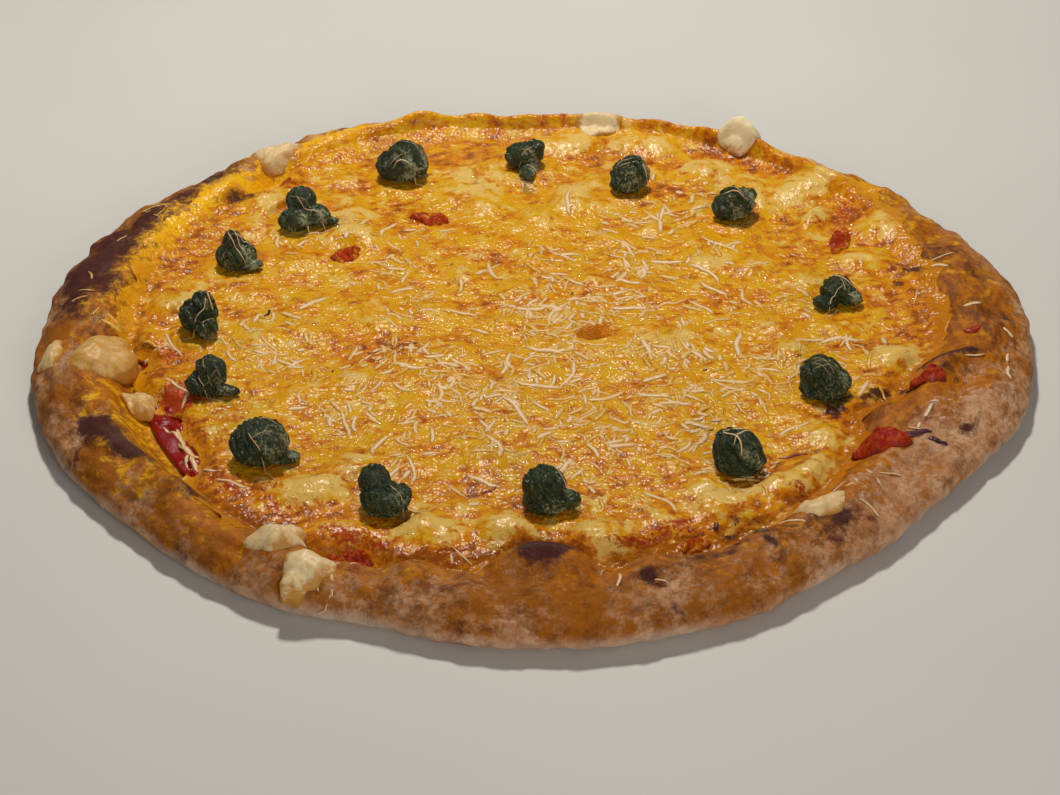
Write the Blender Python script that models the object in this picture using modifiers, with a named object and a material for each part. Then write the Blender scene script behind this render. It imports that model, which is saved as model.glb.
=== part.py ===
"""A large provolone pizza, whole and uncut, at rest on its flat base.

Metres, +Z up. X runs across the pizza and Y from its front edge to its back edge. The
origin is under the middle of its outline, on the surface that it rests on.

The dough is turned as a round pizza and then pulled out of round. The sauce and the
melted cheese lie in its well, and the toppings are let down on to what carries them.
"""

import math

import bmesh
import bpy
import numpy as np
from mathutils import Vector
from mathutils.bvhtree import BVHTree

MM = 0.001

# The dough as it is turned, before it is pulled out of round
TURNED_FOOT = 135 * MM  # radius of the flat well, where the rim starts to rise
TURNED_EDGE = 170 * MM
TURNED_CREST = 16 * MM  # height of the rim
FLOOR = 4.5 * MM  # thickness of the dough under the sauce
WIDEST = 6 * MM  # height at which the rim reaches furthest out
CREST_SHARE = 0.43  # how far across the rim its crest lies
UNDER_SHARE = 0.16  # how far the rim curls in below its widest
INNER_POINTS = 7  # points of the rim's profile: up its inner side, over it, and under it
OUTER_POINTS = 6
UNDER_POINTS = 3
DOUGH_STEPS = 104

# The outline: an ellipse, with flats and bulges as (degrees, half width in degrees, mm)
HALF_LENGTH = 176.5 * MM
HALF_WIDTH = 165 * MM
BULGES = (
    (12, 13, 4.5),
    (38, 12, 1.5),
    (88, 9, -3.0),
    (113, 11, 5.5),
    (153, 15, 3.5),
    (222, 14, -3.5),
    (251, 7, -2.5),
    (276, 9, 2.0),
    (301, 8, -2.5),
    (324, 19, -11.5),
)
EDGE_RIPPLE = 0.5 * MM
EDGE_RIPPLE_LENGTH = 60 * MM
EDGE_RIPPLE_SEED = 3

# Round the rim, as (degrees, mm): radius of the foot and height of the crest
FOOT_RADIUS = (
    (0, 134), (20, 140), (38, 150), (60, 152), (90, 149), (110, 153), (128, 150),
    (146, 142), (170, 138), (186, 139), (202, 140), (218, 140), (236, 141), (248, 141),
    (258, 131), (270, 119), (282, 128), (298, 131), (312, 128), (324, 121), (337, 115),
    (348, 123),
)
CREST_HEIGHT = (
    (0, 15.5), (40, 13), (65, 12), (90, 12), (112, 13), (140, 14.5), (180, 16.5),
    (215, 15.5), (250, 15.5), (275, 17), (300, 15.5), (330, 15),
)

# Blisters and creases of the dough: x, y, half length, half width in mm, turn, height
BLISTERS = (
    (3, -135, 15, 12, 0, 7.5),
    (-19, -138, 5, 14, 26, -3.0),
    (24, -139, 5, 13, -26, -2.4),
    (-40, -143, 13, 9, -14, 2.4),
    (44, -140, 12, 9, 12, 2.8),
    (78, -124, 14, 9, 32, 2.4),
    (104, -101, 12, 8, 46, 1.8),
    (112, -47, 13, 10, 14, 6.0),
    (135, -40, 9, 7, 40, 2.4),
    (147, -19, 15, 5, 14, 3.4),
    (158, -38, 12, 8, 74, 1.6),
    (142, 16, 16, 6, -64, 2.6),
    (140, 41, 11, 5, -34, 2.6),
    (158, 44, 13, 8, -62, 2.2),
    (163, 2, 12, 7, 84, 1.8),
    (128, 106, 13, 6, -42, 1.8),
    (88, 135, 12, 5, -30, 1.4),
    (-46, 156, 12, 6, 10, 2.8),
    (-82, 144, 12, 6, 26, 1.8),
    (-116, 97, 11, 8, 42, 3.2),
    (-139, 84, 12, 7, 58, 2.0),
    (-161, 32, 17, 10, 84, 2.4),
    (-150, -3, 15, 4.5, 8, -2.4),
    (-158, -40, 12, 9, -72, 2.2),
    (-144, -66, 12, 9, -58, 2.6),
    (-121, -95, 14, 10, -42, 2.6),
    (-97, -112, 6, 12, 44, -2.0),
    (-80, -134, 14, 11, -25, 2.6),
    (-60, -146, 5, 10, 20, -1.6),
)
DOUGH_RIPPLE = 0.6 * MM
DOUGH_RIPPLE_LENGTH = 20 * MM
DOUGH_RIPPLE_SEED = 7
MOUND_FALL = 1.6  # how fast a mound falls away: at its half sizes a fifth of it is left

# The layers that lie in the well, each clear of the one under it
GAP = 0.3 * MM
SAUCE_THICKNESS = 1.2 * MM
SAUCE_CLEAR_OF_FOOT = 0.6 * MM
CHEESE_THICKNESS = 3.6 * MM
CHEESE_THINNEST = 1.2 * MM
CHEESE_EDGE_ROLL = 7 * MM  # width over which the cheese rounds off at its edge
CHEESE_LAP_GAP = 0.7 * MM  # clearance where the cheese laps up on to the rim
CHEESE_STEPS = 98
CHEESE_RINGS = 15
LAST_RING_IN = 0.35  # how far inside its edge the last ring lies, in ring widths
UNDER_RING_SHARE = 0.9  # where the one ring of its underside lies, from middle to edge

# How far the cheese reaches past the foot of the rim, as (degrees, mm). Where it stops
# short the red sauce shows.
CHEESE_LAP = (
    (0, 5), (60, 7), (110, 6), (126, 4), (132, -5), (139, 4), (160, 6), (177, 4),
    (185, -6), (191, -2), (199, -12), (211, -11), (219, 1), (228, 3), (238, 0),
    (246, -10), (253, 0), (263, 3), (273, 1), (283, -2), (290, -6), (300, -4),
    (309, 3), (340, 3),
)

# Melted cubes of provolone that still stand in the layer: x, y, half length, half width
# in mm, turn, height
CUBES = (
    (105, 105, 15, 10, 20, 4.0),
    (106, 83, 10, 5, 58, 3.6),
    (132, 76, 11, 9, 30, 3.6),
    (121, 52, 11, 8, 0, 3.0),
    (128, -12, 14, 7, 8, 2.6),
    (97, -79, 11, 8, 20, 3.6),
    (84, -89, 10, 8, 15, 3.4),
    (62, -101, 11, 8, 30, 2.8),
    (21, -117, 12, 8, 8, 3.6),
    (-8, -113, 12, 9, 0, 3.8),
    (-32, -117, 12, 8, -20, 3.2),
    (-72, -94, 12, 9, 20, 2.8),
    (-18, 96, 13, 8, 80, 2.4),
    (14, 97, 12, 8, 70, 2.4),
    (14, 139, 14, 9, 10, 3.2),
    (45, 138, 14, 8, -5, 2.8),
    (70, 120, 12, 8, -20, 2.6),
    (-70, 72, 13, 8, -10, 2.4),
    (-128, 22, 10, 8, 30, 2.4),
    (-100, 92, 10, 8, 10, 2.4),
)
# Smaller ones scattered over the whole layer: how many, how far out, and in mm their half
# length and height, with what each gains toward the edge
SCATTERED_CUBES = 110
SCATTER_SEED = 11
SCATTER_REACH = 138
SCATTERED_HALF = (6.5, 9.5)
SCATTERED_HALF_GAIN = 2.0
SCATTERED_HEIGHT = (0.5, 1.5)
SCATTERED_HEIGHT_GAIN = 0.9
SWELL = 0.35 * MM
SWELL_LENGTH = 55 * MM
SWELL_SEED = 17

# Dollops of herb paste: x, y in mm, then their lobes in mm from the middle of the base:
# across, back, up, and the three half sizes
DOLLOPS = (
    (-49.5, 115, ((0, 0, 6, 9, 8, 7), (1, 1, 10.5, 5.5, 5, 4.5), (-6, -1, 5, 4, 4.5, 4.5))),
    (-86, 80, ((-1, 3, 8, 5.3, 5.3, 5.5), (-3, -4, 4, 6, 5, 4.5), (5, -1, 4, 5, 4.5, 4),
               (8, -1, 1.6, 5, 2.2, 1.8))),
    (-109, 50, ((0, 0, 4, 7, 6.5, 5.5), (-1, 0.5, 8.5, 3.5, 3.5, 5.8), (5, -3, 2, 5, 3, 2))),
    (-118, 5.5, ((-1, 1, 6, 6.5, 6, 6.5), (0.5, 1.5, 10.5, 4, 4, 5), (2, -4, 4, 3.8, 4, 4))),
    (-112, -32, ((0.5, 1, 6.5, 5.5, 5.5, 6.3), (-2, -2, 3.5, 6, 5, 4), (5, -4, 2, 6, 2.6, 2))),
    (-91.5, -74, ((0, 0, 6.5, 9.5, 8.5, 7.5), (0.5, 1, 9.5, 6.5, 6, 5), (8, -2, 2.2, 6, 3, 2.4))),
    (-49, -102, ((-3, 3, 9, 5, 5, 6), (0.5, -2, 5, 7.8, 6.5, 5.5), (6, 0, 6.5, 3, 3, 3))),
    (5, -100.5, ((-1.5, 1, 8, 6.8, 6.5, 6.8), (-1, -2, 3.5, 7, 6, 4), (6, -2, 4, 4, 3.5, 3.5))),
    (68, -78.5, ((0, 0, 7, 7.8, 7.2, 7.2), (1, -2, 3.5, 8, 6.5, 4), (-3, 1, 9.5, 4, 4, 4))),
    (100, -33.5, ((-1, 0, 7, 7, 6.8, 7), (5, -1, 5, 4, 4, 4), (0, -2, 3, 7.5, 6.5, 3.5))),
    (109.5, 23.5, ((0, 1.5, 5.5, 5.5, 5, 5.2), (-4, -3, 2.8, 4.5, 3.5, 2.8),
                   (4.5, -1, 3.5, 4.5, 3.5, 3))),
    (76, 85, ((0, 0, 6, 7.2, 6.5, 6.3), (4.5, 2.5, 7.5, 3, 2.8, 3), (-3, -1, 4, 5, 5, 4))),
    (37, 106, ((0, 0, 6, 7, 6, 6.5), (1, 1, 9.5, 4, 3.5, 3.5), (-2, -2, 3.5, 5.5, 5, 3.5))),
    (-3.5, 121, ((0, 2, 5, 7, 5, 5.5), (4, 4, 7, 3.5, 3, 4), (1.5, -4, 2, 3.5, 7, 2.2))),
)
DOLLOP_SIDES = 13
DOLLOP_BANDS = 8
DOLLOP_MIDDLE = 3.6 * MM  # height of the point that the lobes are seen from
LOBE_SHARPNESS = 9  # the higher, the deeper the clefts between lobes
SEAT_MARGIN = 2 * MM
SEAT_RISE = 0.6 * MM  # how far the level seat under a dollop stands above the plain layer

# Pieces laid on the pizza: x, y, half length, half width in mm, turn, height
RIM_LUMPS = (
    (-150.5, -17, 14, 10.5, 70, 4.2),
    (-168.5, -16, 8, 4, 80, 2.6),
    (-136, -37, 8, 5.5, -60, 3.0),
    (-82, -126, 10, 8, 25, 4.2),
    (-72, -141, 9, 7.5, 30, 3.4),
    (81, 137, 8, 7, 0, 9.0),
    (-99, 127, 11, 8, 38, 3.6),
    (26, 150, 9, 6, 4, 3.4),
    (94, -107, 9, 5.5, 30, 2.4),
)
TOMATOES = (
    (117, -70, 10, 7, 25, 3.6),
    (22, 4, 7, 5, 10, 2.4),
    (-39, 84, 8, 4.5, -20, 2.2),
    (-69, 57, 6, 4, 35, 2.2),
    (-94, 107, 6, 4.5, 20, 2.6),
    (-59, -127, 8, 5, -10, 2.6),
    (114, 66, 4, 8, -15, 2.6),
    (52, -118, 5, 4, 15, 2.2),
    (137, -32, 6, 5, 10, 2.8),
)
PIECE_SIDES = 11
PIECE_BANDS = 6
PIECE_EDGE = 0.6 * MM
PIECE_WAVES = ((3, 0.08), (5, 0.06))  # waves round a piece's outline, and their depth
LUMP_BLUNTNESS = 0.75  # 1 is a round dome, and less is flatter on top
TOMATO_BLUNTNESS = 0.45
DRAPE = 4 * MM  # how far a piece sags round what is under it
LIP_REACH = 0.8 * MM  # how far round each point the ground under a piece is felt
LET_DOWN_STEP = 0.1 * MM

# Coarse shreds of grated cheese, melted on to the layer
SHRED_COUNT = 34
SHRED_SEED = 5
SHRED_RADIUS = 1.0 * MM
SHRED_SUNK = 0.15  # how far the middle of a shred lies in the cheese, in radii
SHRED_SHORTEST = 12 * MM
SHRED_LONGEST = 19 * MM
SHRED_BEND = 0.3  # radians that its heading turns, at most, from its middle to an end
SHRED_CLEARANCE = 2 * MM
SHRED_APART = 11 * MM
SHRED_MIDDLE = (14 * MM, -16 * MM)  # where most of them fell
SHRED_SPREAD = 62 * MM
SHRED_REACH = 112 * MM
SHRED_POINTS = 4


def clear_scene():
    for obj in list(bpy.data.objects):
        bpy.data.objects.remove(obj, do_unlink=True)


def new_collection(name):
    collection = bpy.data.collections.new(name)
    bpy.context.scene.collection.children.link(collection)
    return collection


def finish(name, colour, roughness):
    """A food finish: nothing on a pizza is metal, so only colour and gloss differ."""
    material = bpy.data.materials.new(name)
    material.use_nodes = True
    shader = material.node_tree.nodes["Principled BSDF"]
    shader.inputs["Base Color"].default_value = (*colour, 1.0)
    shader.inputs["Roughness"].default_value = roughness
    shader.inputs["Metallic"].default_value = 0.0
    material.diffuse_color = (*colour, 1.0)
    return material


def around(azimuth, stations):
    """Reads (degrees, mm) stations at each azimuth, easing from one to the next."""
    degrees = np.degrees(azimuth) % 360.0
    first_degree, first_value = stations[0]
    at = np.array([degree for degree, _ in stations] + [first_degree + 360.0])
    value = np.array([size for _, size in stations] + [first_value]) * MM
    before = np.searchsorted(at, degrees, side="right") - 1
    share = (degrees - at[before]) / (at[before + 1] - at[before])
    share = share * share * (3.0 - 2.0 * share)
    return value[before] * (1.0 - share) + value[before + 1] * share


def ripples(x, y, length, seed):
    """Unevenness with a spread of 1: seven waves of about this length, run any way."""
    draw = np.random.RandomState(seed)
    waves = 7
    total = np.zeros_like(x)
    for _ in range(waves):
        heading, phase = draw.uniform(0.0, 2.0 * math.pi, 2)
        number = 2.0 * math.pi / (length * draw.uniform(0.7, 1.4))
        along = x * math.cos(heading) + y * math.sin(heading)
        total += np.sin(along * number + phase)
    return total / math.sqrt(waves / 2.0)


def mounds(x, y, table):
    """The sum of bell-shaped mounds, from (x, y, half length, half width, turn, height)."""
    total = np.zeros_like(x)
    for across, back, half_length, half_width, turn, height in table:
        c, s = math.cos(math.radians(turn)), math.sin(math.radians(turn))
        dx, dy = x - across * MM, y - back * MM
        along = (dx * c + dy * s) / (half_length * MM)
        aside = (dy * c - dx * s) / (half_width * MM)
        total += height * MM * np.exp(-MOUND_FALL * (along**2 + aside**2))
    return total


def edge_radius(azimuth):
    """The outline: the ellipse with its flats and bulges, a little uneven."""
    radius = HALF_LENGTH * HALF_WIDTH / np.hypot(
        HALF_WIDTH * np.cos(azimuth), HALF_LENGTH * np.sin(azimuth)
    )
    degrees = np.degrees(azimuth)
    for at, half_width, height in BULGES:
        off = (degrees - at + 180.0) % 360.0 - 180.0
        radius = radius + height * MM * np.exp(-((off / half_width) ** 2))
    round_x, round_y = TURNED_EDGE * np.cos(azimuth), TURNED_EDGE * np.sin(azimuth)
    return radius + EDGE_RIPPLE * ripples(round_x, round_y, EDGE_RIPPLE_LENGTH, EDGE_RIPPLE_SEED)


def dough_relief(x, y):
    """Height of the blisters, creases and unevenness of the rim."""
    uneven = ripples(x, y, DOUGH_RIPPLE_LENGTH, DOUGH_RIPPLE_SEED)
    return mounds(x, y, BLISTERS) + DOUGH_RIPPLE * uneven


def relief_share(rise):
    """How much of the relief shows: none on the floor, and soon all of it up the rim."""
    return 1.0 - (1.0 - rise) ** 2


def rim_slope(x, y):
    """Height of the inner side of the rim over a point, and of the floor inside it."""
    azimuth = np.arctan2(y, x)
    foot = around(azimuth, FOOT_RADIUS)
    crest = around(azimuth, CREST_HEIGHT)
    across = (np.hypot(x, y) - foot) / (edge_radius(azimuth) - foot)
    rise = 0.5 - 0.5 * np.cos(math.pi * np.clip(across / CREST_SHARE, 0.0, 1.0))
    return FLOOR + rise * (crest - FLOOR) + relief_share(rise) * dough_relief(x, y)


def scattered_cubes():
    """Small melted cubes over the whole layer, spread like sunflower seeds, larger at the edge."""
    draw = np.random.RandomState(SCATTER_SEED)
    sunflower_turn = math.pi * (3.0 - math.sqrt(5.0))
    cubes = []
    for i in range(SCATTERED_CUBES):
        out = math.sqrt((i + 0.5) / SCATTERED_CUBES)
        angle = i * sunflower_turn + draw.uniform(-0.25, 0.25)
        across = SCATTER_REACH * out * math.cos(angle)
        back = SCATTER_REACH * out * math.sin(angle)
        half_length = draw.uniform(*SCATTERED_HALF) + SCATTERED_HALF_GAIN * out**3
        height = draw.uniform(*SCATTERED_HEIGHT) + SCATTERED_HEIGHT_GAIN * out**4
        half_width = half_length * draw.uniform(0.6, 1.0)
        turn = draw.uniform(0.0, 180.0)
        cubes.append((across, back, half_length, half_width, turn, height))
    return cubes


def cheese_underside(x, y):
    """The top of the sauce, and past it the slope of the rim that the cheese laps on to."""
    level = FLOOR + GAP + SAUCE_THICKNESS + GAP
    return np.maximum(level, rim_slope(x, y) + CHEESE_LAP_GAP)


def seat_shares(x, y):
    """For each dollop, how far a point belongs to the level seat that it sinks."""
    for across, back, lobes in DOLLOPS:
        reach = max(math.hypot(dx, dy) + (a + b) / 2 for dx, dy, _, a, b, _ in lobes) * MM
        off = np.hypot(x - across * MM, y - back * MM)
        share = np.clip((reach + 2 * SEAT_MARGIN - off) / SEAT_MARGIN, 0.0, 1.0)
        yield share * share * (3.0 - 2.0 * share)


def cheese_thickness(x, y, edge):
    """The layer with its cubes, level under the dollops and rolled off at its edge."""
    relief = mounds(x, y, CUBES + tuple(scattered_cubes()))
    relief += SWELL * ripples(x, y, SWELL_LENGTH, SWELL_SEED)
    for share in seat_shares(x, y):
        relief = relief * (1.0 - share) + SEAT_RISE * share
    full = np.maximum(CHEESE_THICKNESS + relief, CHEESE_THINNEST)
    inside = np.clip((edge - np.hypot(x, y)) / CHEESE_EDGE_ROLL, 0.0, 1.0)
    rolled = np.sqrt(1.0 - (1.0 - inside) ** 2)
    return CHEESE_THINNEST + (full - CHEESE_THINNEST) * rolled


def points_of(mesh):
    flat = np.empty(len(mesh.vertices) * 3, np.float32)
    mesh.vertices.foreach_get("co", flat)
    return flat.reshape(-1, 3).astype(float)


def move_points(mesh, points):
    mesh.vertices.foreach_set("co", points.astype(np.float32).ravel())
    mesh.update()


def add(name, mesh, collection, material):
    obj = bpy.data.objects.new(name, mesh)
    collection.objects.link(obj)
    mesh.materials.clear()
    mesh.materials.append(material)
    mesh.shade_smooth()
    return obj


def turned_mesh(name, profile, steps):
    """A profile of (radius, height) points, top to bottom, turned once round the middle."""
    outline = bpy.data.meshes.new(name)
    outline.from_pydata(
        [(radius, 0.0, height) for radius, height in profile],
        [(i, i + 1) for i in range(len(profile) - 1)],
        [],
    )
    turned = bpy.data.objects.new(name, outline)
    bpy.context.scene.collection.objects.link(turned)
    screw = turned.modifiers.new("Turn", "SCREW")
    screw.axis = "Z"
    screw.steps = steps
    screw.render_steps = steps
    screw.use_merge_vertices = True
    screw.merge_threshold = 0.01 * MM
    graph = bpy.context.evaluated_depsgraph_get()
    mesh = bpy.data.meshes.new_from_object(turned.evaluated_get(graph))
    mesh.name = name
    bpy.data.objects.remove(turned, do_unlink=True)
    bpy.data.meshes.remove(outline)
    return mesh


def dough_profile():
    """Floor, inner slope, crest, outer side, underside: a raised cosine and two ellipses."""
    crest_at = TURNED_FOOT + CREST_SHARE * (TURNED_EDGE - TURNED_FOOT)
    profile = [(0.0, FLOOR)]
    for i in range(INNER_POINTS):
        share = i / INNER_POINTS
        rise = 0.5 - 0.5 * math.cos(math.pi * share)
        radius = TURNED_FOOT + share * (crest_at - TURNED_FOOT)
        profile.append((radius, FLOOR + rise * (TURNED_CREST - FLOOR)))
    for i in range(OUTER_POINTS):
        turn = 0.5 * math.pi * i / OUTER_POINTS
        radius = crest_at + (TURNED_EDGE - crest_at) * math.sin(turn)
        profile.append((radius, WIDEST + (TURNED_CREST - WIDEST) * math.cos(turn)))
    curl = UNDER_SHARE * (TURNED_EDGE - TURNED_FOOT)
    for i in range(UNDER_POINTS + 1):
        turn = 0.5 * math.pi * i / UNDER_POINTS
        radius = TURNED_EDGE - curl * (1.0 - math.cos(turn))
        profile.append((radius, WIDEST * (1.0 - math.sin(turn))))
    profile.append((0.0, 0.0))
    return profile


def make_crust(collection, material):
    """The baked dough: turned, pulled out to its outline, and its rim raised and blistered."""
    mesh = turned_mesh("crust", dough_profile(), DOUGH_STEPS)
    x, y, z = points_of(mesh).T
    radius, azimuth = np.hypot(x, y), np.arctan2(y, x)
    foot, edge = around(azimuth, FOOT_RADIUS), edge_radius(azimuth)
    across = (radius - TURNED_FOOT) / (TURNED_EDGE - TURNED_FOOT)
    pulled = np.where(
        across < 0.0, radius * foot / TURNED_FOOT, foot + across * (edge - foot)
    )
    x, y = pulled * np.cos(azimuth), pulled * np.sin(azimuth)
    lift = np.clip((z - FLOOR) / (TURNED_CREST - FLOOR), 0.0, 1.0)
    crest = around(azimuth, CREST_HEIGHT)
    z = z + lift * (crest - TURNED_CREST) + relief_share(lift) * dough_relief(x, y)
    move_points(mesh, np.stack([x, y, z], axis=1))
    return add("crust", mesh, collection, material)


def make_sauce(collection, material):
    """The tomato sauce, a thin level layer over the floor of the well."""
    low, high = FLOOR + GAP, FLOOR + GAP + SAUCE_THICKNESS
    profile = [(0.0, high), (TURNED_FOOT, high), (TURNED_FOOT, low), (0.0, low)]
    mesh = turned_mesh("sauce", profile, DOUGH_STEPS)
    x, y, z = points_of(mesh).T
    azimuth = np.arctan2(y, x)
    reach = around(azimuth, FOOT_RADIUS) - SAUCE_CLEAR_OF_FOOT
    radius = np.hypot(x, y) / TURNED_FOOT * reach
    move_points(
        mesh, np.stack([radius * np.cos(azimuth), radius * np.sin(azimuth), z], axis=1)
    )
    return add("sauce", mesh, collection, material)


def make_cheese(collection, material):
    """The melted provolone, lumpy where its cubes have not run together."""
    top, bottom = CHEESE_THICKNESS, 0.0
    profile = [(0.0, top)]
    for i in range(1, CHEESE_RINGS):
        profile.append((TURNED_FOOT * i / CHEESE_RINGS, top))
    last_ring = TURNED_FOOT * (CHEESE_RINGS - LAST_RING_IN) / CHEESE_RINGS
    profile += [(last_ring, top), (TURNED_FOOT, top), (TURNED_FOOT, bottom)]
    profile += [(TURNED_FOOT * UNDER_RING_SHARE, bottom), (0.0, bottom)]
    mesh = turned_mesh("cheese", profile, CHEESE_STEPS)
    x, y, z = points_of(mesh).T
    azimuth = np.arctan2(y, x)
    edge = around(azimuth, FOOT_RADIUS) + around(azimuth, CHEESE_LAP)
    radius = np.hypot(x, y) / TURNED_FOOT * edge
    x, y = radius * np.cos(azimuth), radius * np.sin(azimuth)
    upper = z > 0.5 * CHEESE_THICKNESS
    z = cheese_underside(x, y) + upper * cheese_thickness(x, y, edge)
    move_points(mesh, np.stack([x, y, z], axis=1))
    return add("cheese", mesh, collection, material)


class Ground:
    """What a topping is let down on to: the highest of some meshes under a point."""

    def __init__(self, objects):
        self.trees = []
        for obj in objects:
            cage = bmesh.new()
            cage.from_mesh(obj.data)
            self.trees.append(BVHTree.FromBMesh(cage))
            cage.free()

    def height(self, x, y):
        highest = 0.0
        for tree in self.trees:
            hit = tree.ray_cast(Vector((x, y, 1.0)), Vector((0.0, 0.0, -1.0)))[0]
            if hit is not None:
                highest = max(highest, hit.z)
        return highest

    def touches(self, mesh):
        cage = bmesh.new()
        cage.from_mesh(mesh)
        piece = BVHTree.FromBMesh(cage)
        cage.free()
        return any(tree.overlap(piece) for tree in self.trees)

    def let_down(self, mesh):
        """Raises a piece from where it is until it clears what is under it by the gap."""
        points = points_of(mesh)
        while self.touches(mesh):
            points[:, 2] += LET_DOWN_STEP
            move_points(mesh, points)
        points[:, 2] += GAP
        move_points(mesh, points)

    def height_about(self, x, y, reach):
        """The highest ground at a point and a little way round it."""
        near = [(0.0, 0.0)]
        for i in range(6):
            turn = math.pi * i / 3.0
            near.append((reach * math.cos(turn), reach * math.sin(turn)))
        return max(self.height(x + dx, y + dy) for dx, dy in near)


def ball_mesh(name, sides, bands):
    """A unit ball, poles up and down."""
    cage = bmesh.new()
    bmesh.ops.create_uvsphere(cage, u_segments=sides, v_segments=bands, radius=1.0)
    mesh = bpy.data.meshes.new(name)
    cage.to_mesh(mesh)
    cage.free()
    return mesh


def lobe_reach(way, centre, halves):
    """How far a ray from the middle runs, this way, before it leaves an ellipsoid."""
    d = way / halves
    c = centre / halves
    dd = np.sum(d * d, axis=1)
    dc = d @ c
    inside = dc * dc - dd * (c @ c - 1.0)
    reach = (dc + np.sqrt(np.maximum(inside, 0.0))) / dd
    return np.where((inside > 0.0) & (reach > 0.0), reach, 0.0)


def make_dollop(name, across, back, lobes, ground, collection, material):
    """A blob of paste: its lobes melt into one skin, and its base is flat on the cheese."""
    mesh = ball_mesh(name, DOLLOP_SIDES, DOLLOP_BANDS)
    way = points_of(mesh)
    total = np.zeros(len(way))
    for dx, dy, up, a, b, c in lobes:
        centre = np.array([dx * MM, dy * MM, up * MM - DOLLOP_MIDDLE])
        halves = np.array([a, b, c]) * MM
        total += (lobe_reach(way, centre, halves) / MM) ** LOBE_SHARPNESS
    points = way * (total ** (1.0 / LOBE_SHARPNESS) * MM)[:, None]
    points[:, 2] = np.maximum(points[:, 2] + DOLLOP_MIDDLE, 0.0)
    points += (across * MM, back * MM, 0.0)
    points[:, 2] += min(ground.height(x, y) for x, y, _ in points)
    move_points(mesh, points)
    ground.let_down(mesh)
    return add(name, mesh, collection, material)


def make_laid_piece(name, piece, bluntness, ground, collection, material):
    """A soft piece that has slumped on to what is under it: domed above, draped below."""
    across, back, half_length, half_width, turn, height = piece
    mesh = ball_mesh(name, PIECE_SIDES, PIECE_BANDS)
    ball = points_of(mesh)
    out = np.hypot(ball[:, 0], ball[:, 1])
    bearing = np.arctan2(ball[:, 1], ball[:, 0])
    wave = 1.0
    for (count, depth), phase in zip(PIECE_WAVES, (across, back)):
        wave = wave + depth * np.sin(count * bearing + phase)
    along = half_length * MM * out * np.cos(bearing) * wave
    aside = half_width * MM * out * np.sin(bearing) * wave
    c, s = math.cos(math.radians(turn)), math.sin(math.radians(turn))
    x = across * MM + along * c - aside * s
    y = back * MM + along * s + aside * c
    base = np.array([ground.height_about(px, py, LIP_REACH) for px, py in zip(x, y)])
    base = np.maximum(base, base.max() - DRAPE)
    up = np.clip(ball[:, 2], 0.0, 1.0) ** bluntness
    upper = ball[:, 2] > -0.01
    z = base + upper * (PIECE_EDGE + (height * MM - PIECE_EDGE) * up)
    move_points(mesh, np.stack([x, y, z], axis=1))
    ground.let_down(mesh)
    return add(name, mesh, collection, material)


def clear_of_toppings(x, y, half_length):
    """Whether a shred at this place stays off every dollop, tomato and the like."""
    needed = half_length + SHRED_CLEARANCE
    for across, back, lobes in DOLLOPS:
        reach = max(math.hypot(dx, dy) + max(a, b) for dx, dy, _, a, b, _ in lobes) * MM
        if math.hypot(x - across * MM, y - back * MM) < reach + needed:
            return False
    for across, back, a, b, _, _ in RIM_LUMPS + TOMATOES:
        if math.hypot(x - across * MM, y - back * MM) < max(a, b) * MM + needed:
            return False
    return True


def shred_routes():
    """The middle lines of the shreds in plan, as (x, y) points on gentle arcs."""
    draw = np.random.RandomState(SHRED_SEED)
    placed = []
    while len(placed) < SHRED_COUNT:
        x = SHRED_MIDDLE[0] + SHRED_SPREAD * draw.normal()
        y = SHRED_MIDDLE[1] + SHRED_SPREAD * draw.normal()
        half = 0.5 * draw.uniform(SHRED_SHORTEST, SHRED_LONGEST)
        heading, bend = draw.uniform(0.0, math.pi), draw.uniform(-SHRED_BEND, SHRED_BEND)
        if math.hypot(x, y) > SHRED_REACH or not clear_of_toppings(x, y, half):
            continue
        if any(math.hypot(x - ox, y - oy) < SHRED_APART for ox, oy, *_ in placed):
            continue
        placed.append((x, y, half, heading, bend))
    for x, y, half, heading, bend in placed:
        steps = np.linspace(-1.0, 1.0, SHRED_POINTS)
        angles = heading + bend * steps
        along = half * steps
        yield x + along * np.cos(angles), y + along * np.sin(angles)


def make_shred(index, xs, ys, ground, collection):
    """One strip, half sunk in the cheese: a thin tube along its route, closed at its ends."""
    route = bpy.data.curves.new(f"shred_{index}", "CURVE")
    route.dimensions = "3D"
    route.bevel_depth = SHRED_RADIUS
    route.bevel_resolution = 0
    route.use_fill_caps = True
    spline = route.splines.new("POLY")
    spline.points.add(len(xs) - 1)
    for point, x, y in zip(spline.points, xs, ys):
        point.co = (x, y, ground.height(x, y) - SHRED_SUNK * SHRED_RADIUS, 1.0)
    strip = bpy.data.objects.new(route.name, route)
    bpy.context.scene.collection.objects.link(strip)
    graph = bpy.context.evaluated_depsgraph_get()
    mesh = bpy.data.meshes.new_from_object(strip.evaluated_get(graph))
    bpy.data.objects.remove(strip, do_unlink=True)
    cage = bmesh.new()
    cage.from_mesh(mesh)
    bmesh.ops.remove_doubles(cage, verts=cage.verts, dist=0.01 * MM)
    bmesh.ops.recalc_face_normals(cage, faces=cage.faces)
    cage.to_mesh(mesh)
    cage.free()
    collection.objects.link(bpy.data.objects.new(f"shred_{index}", mesh))


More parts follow.
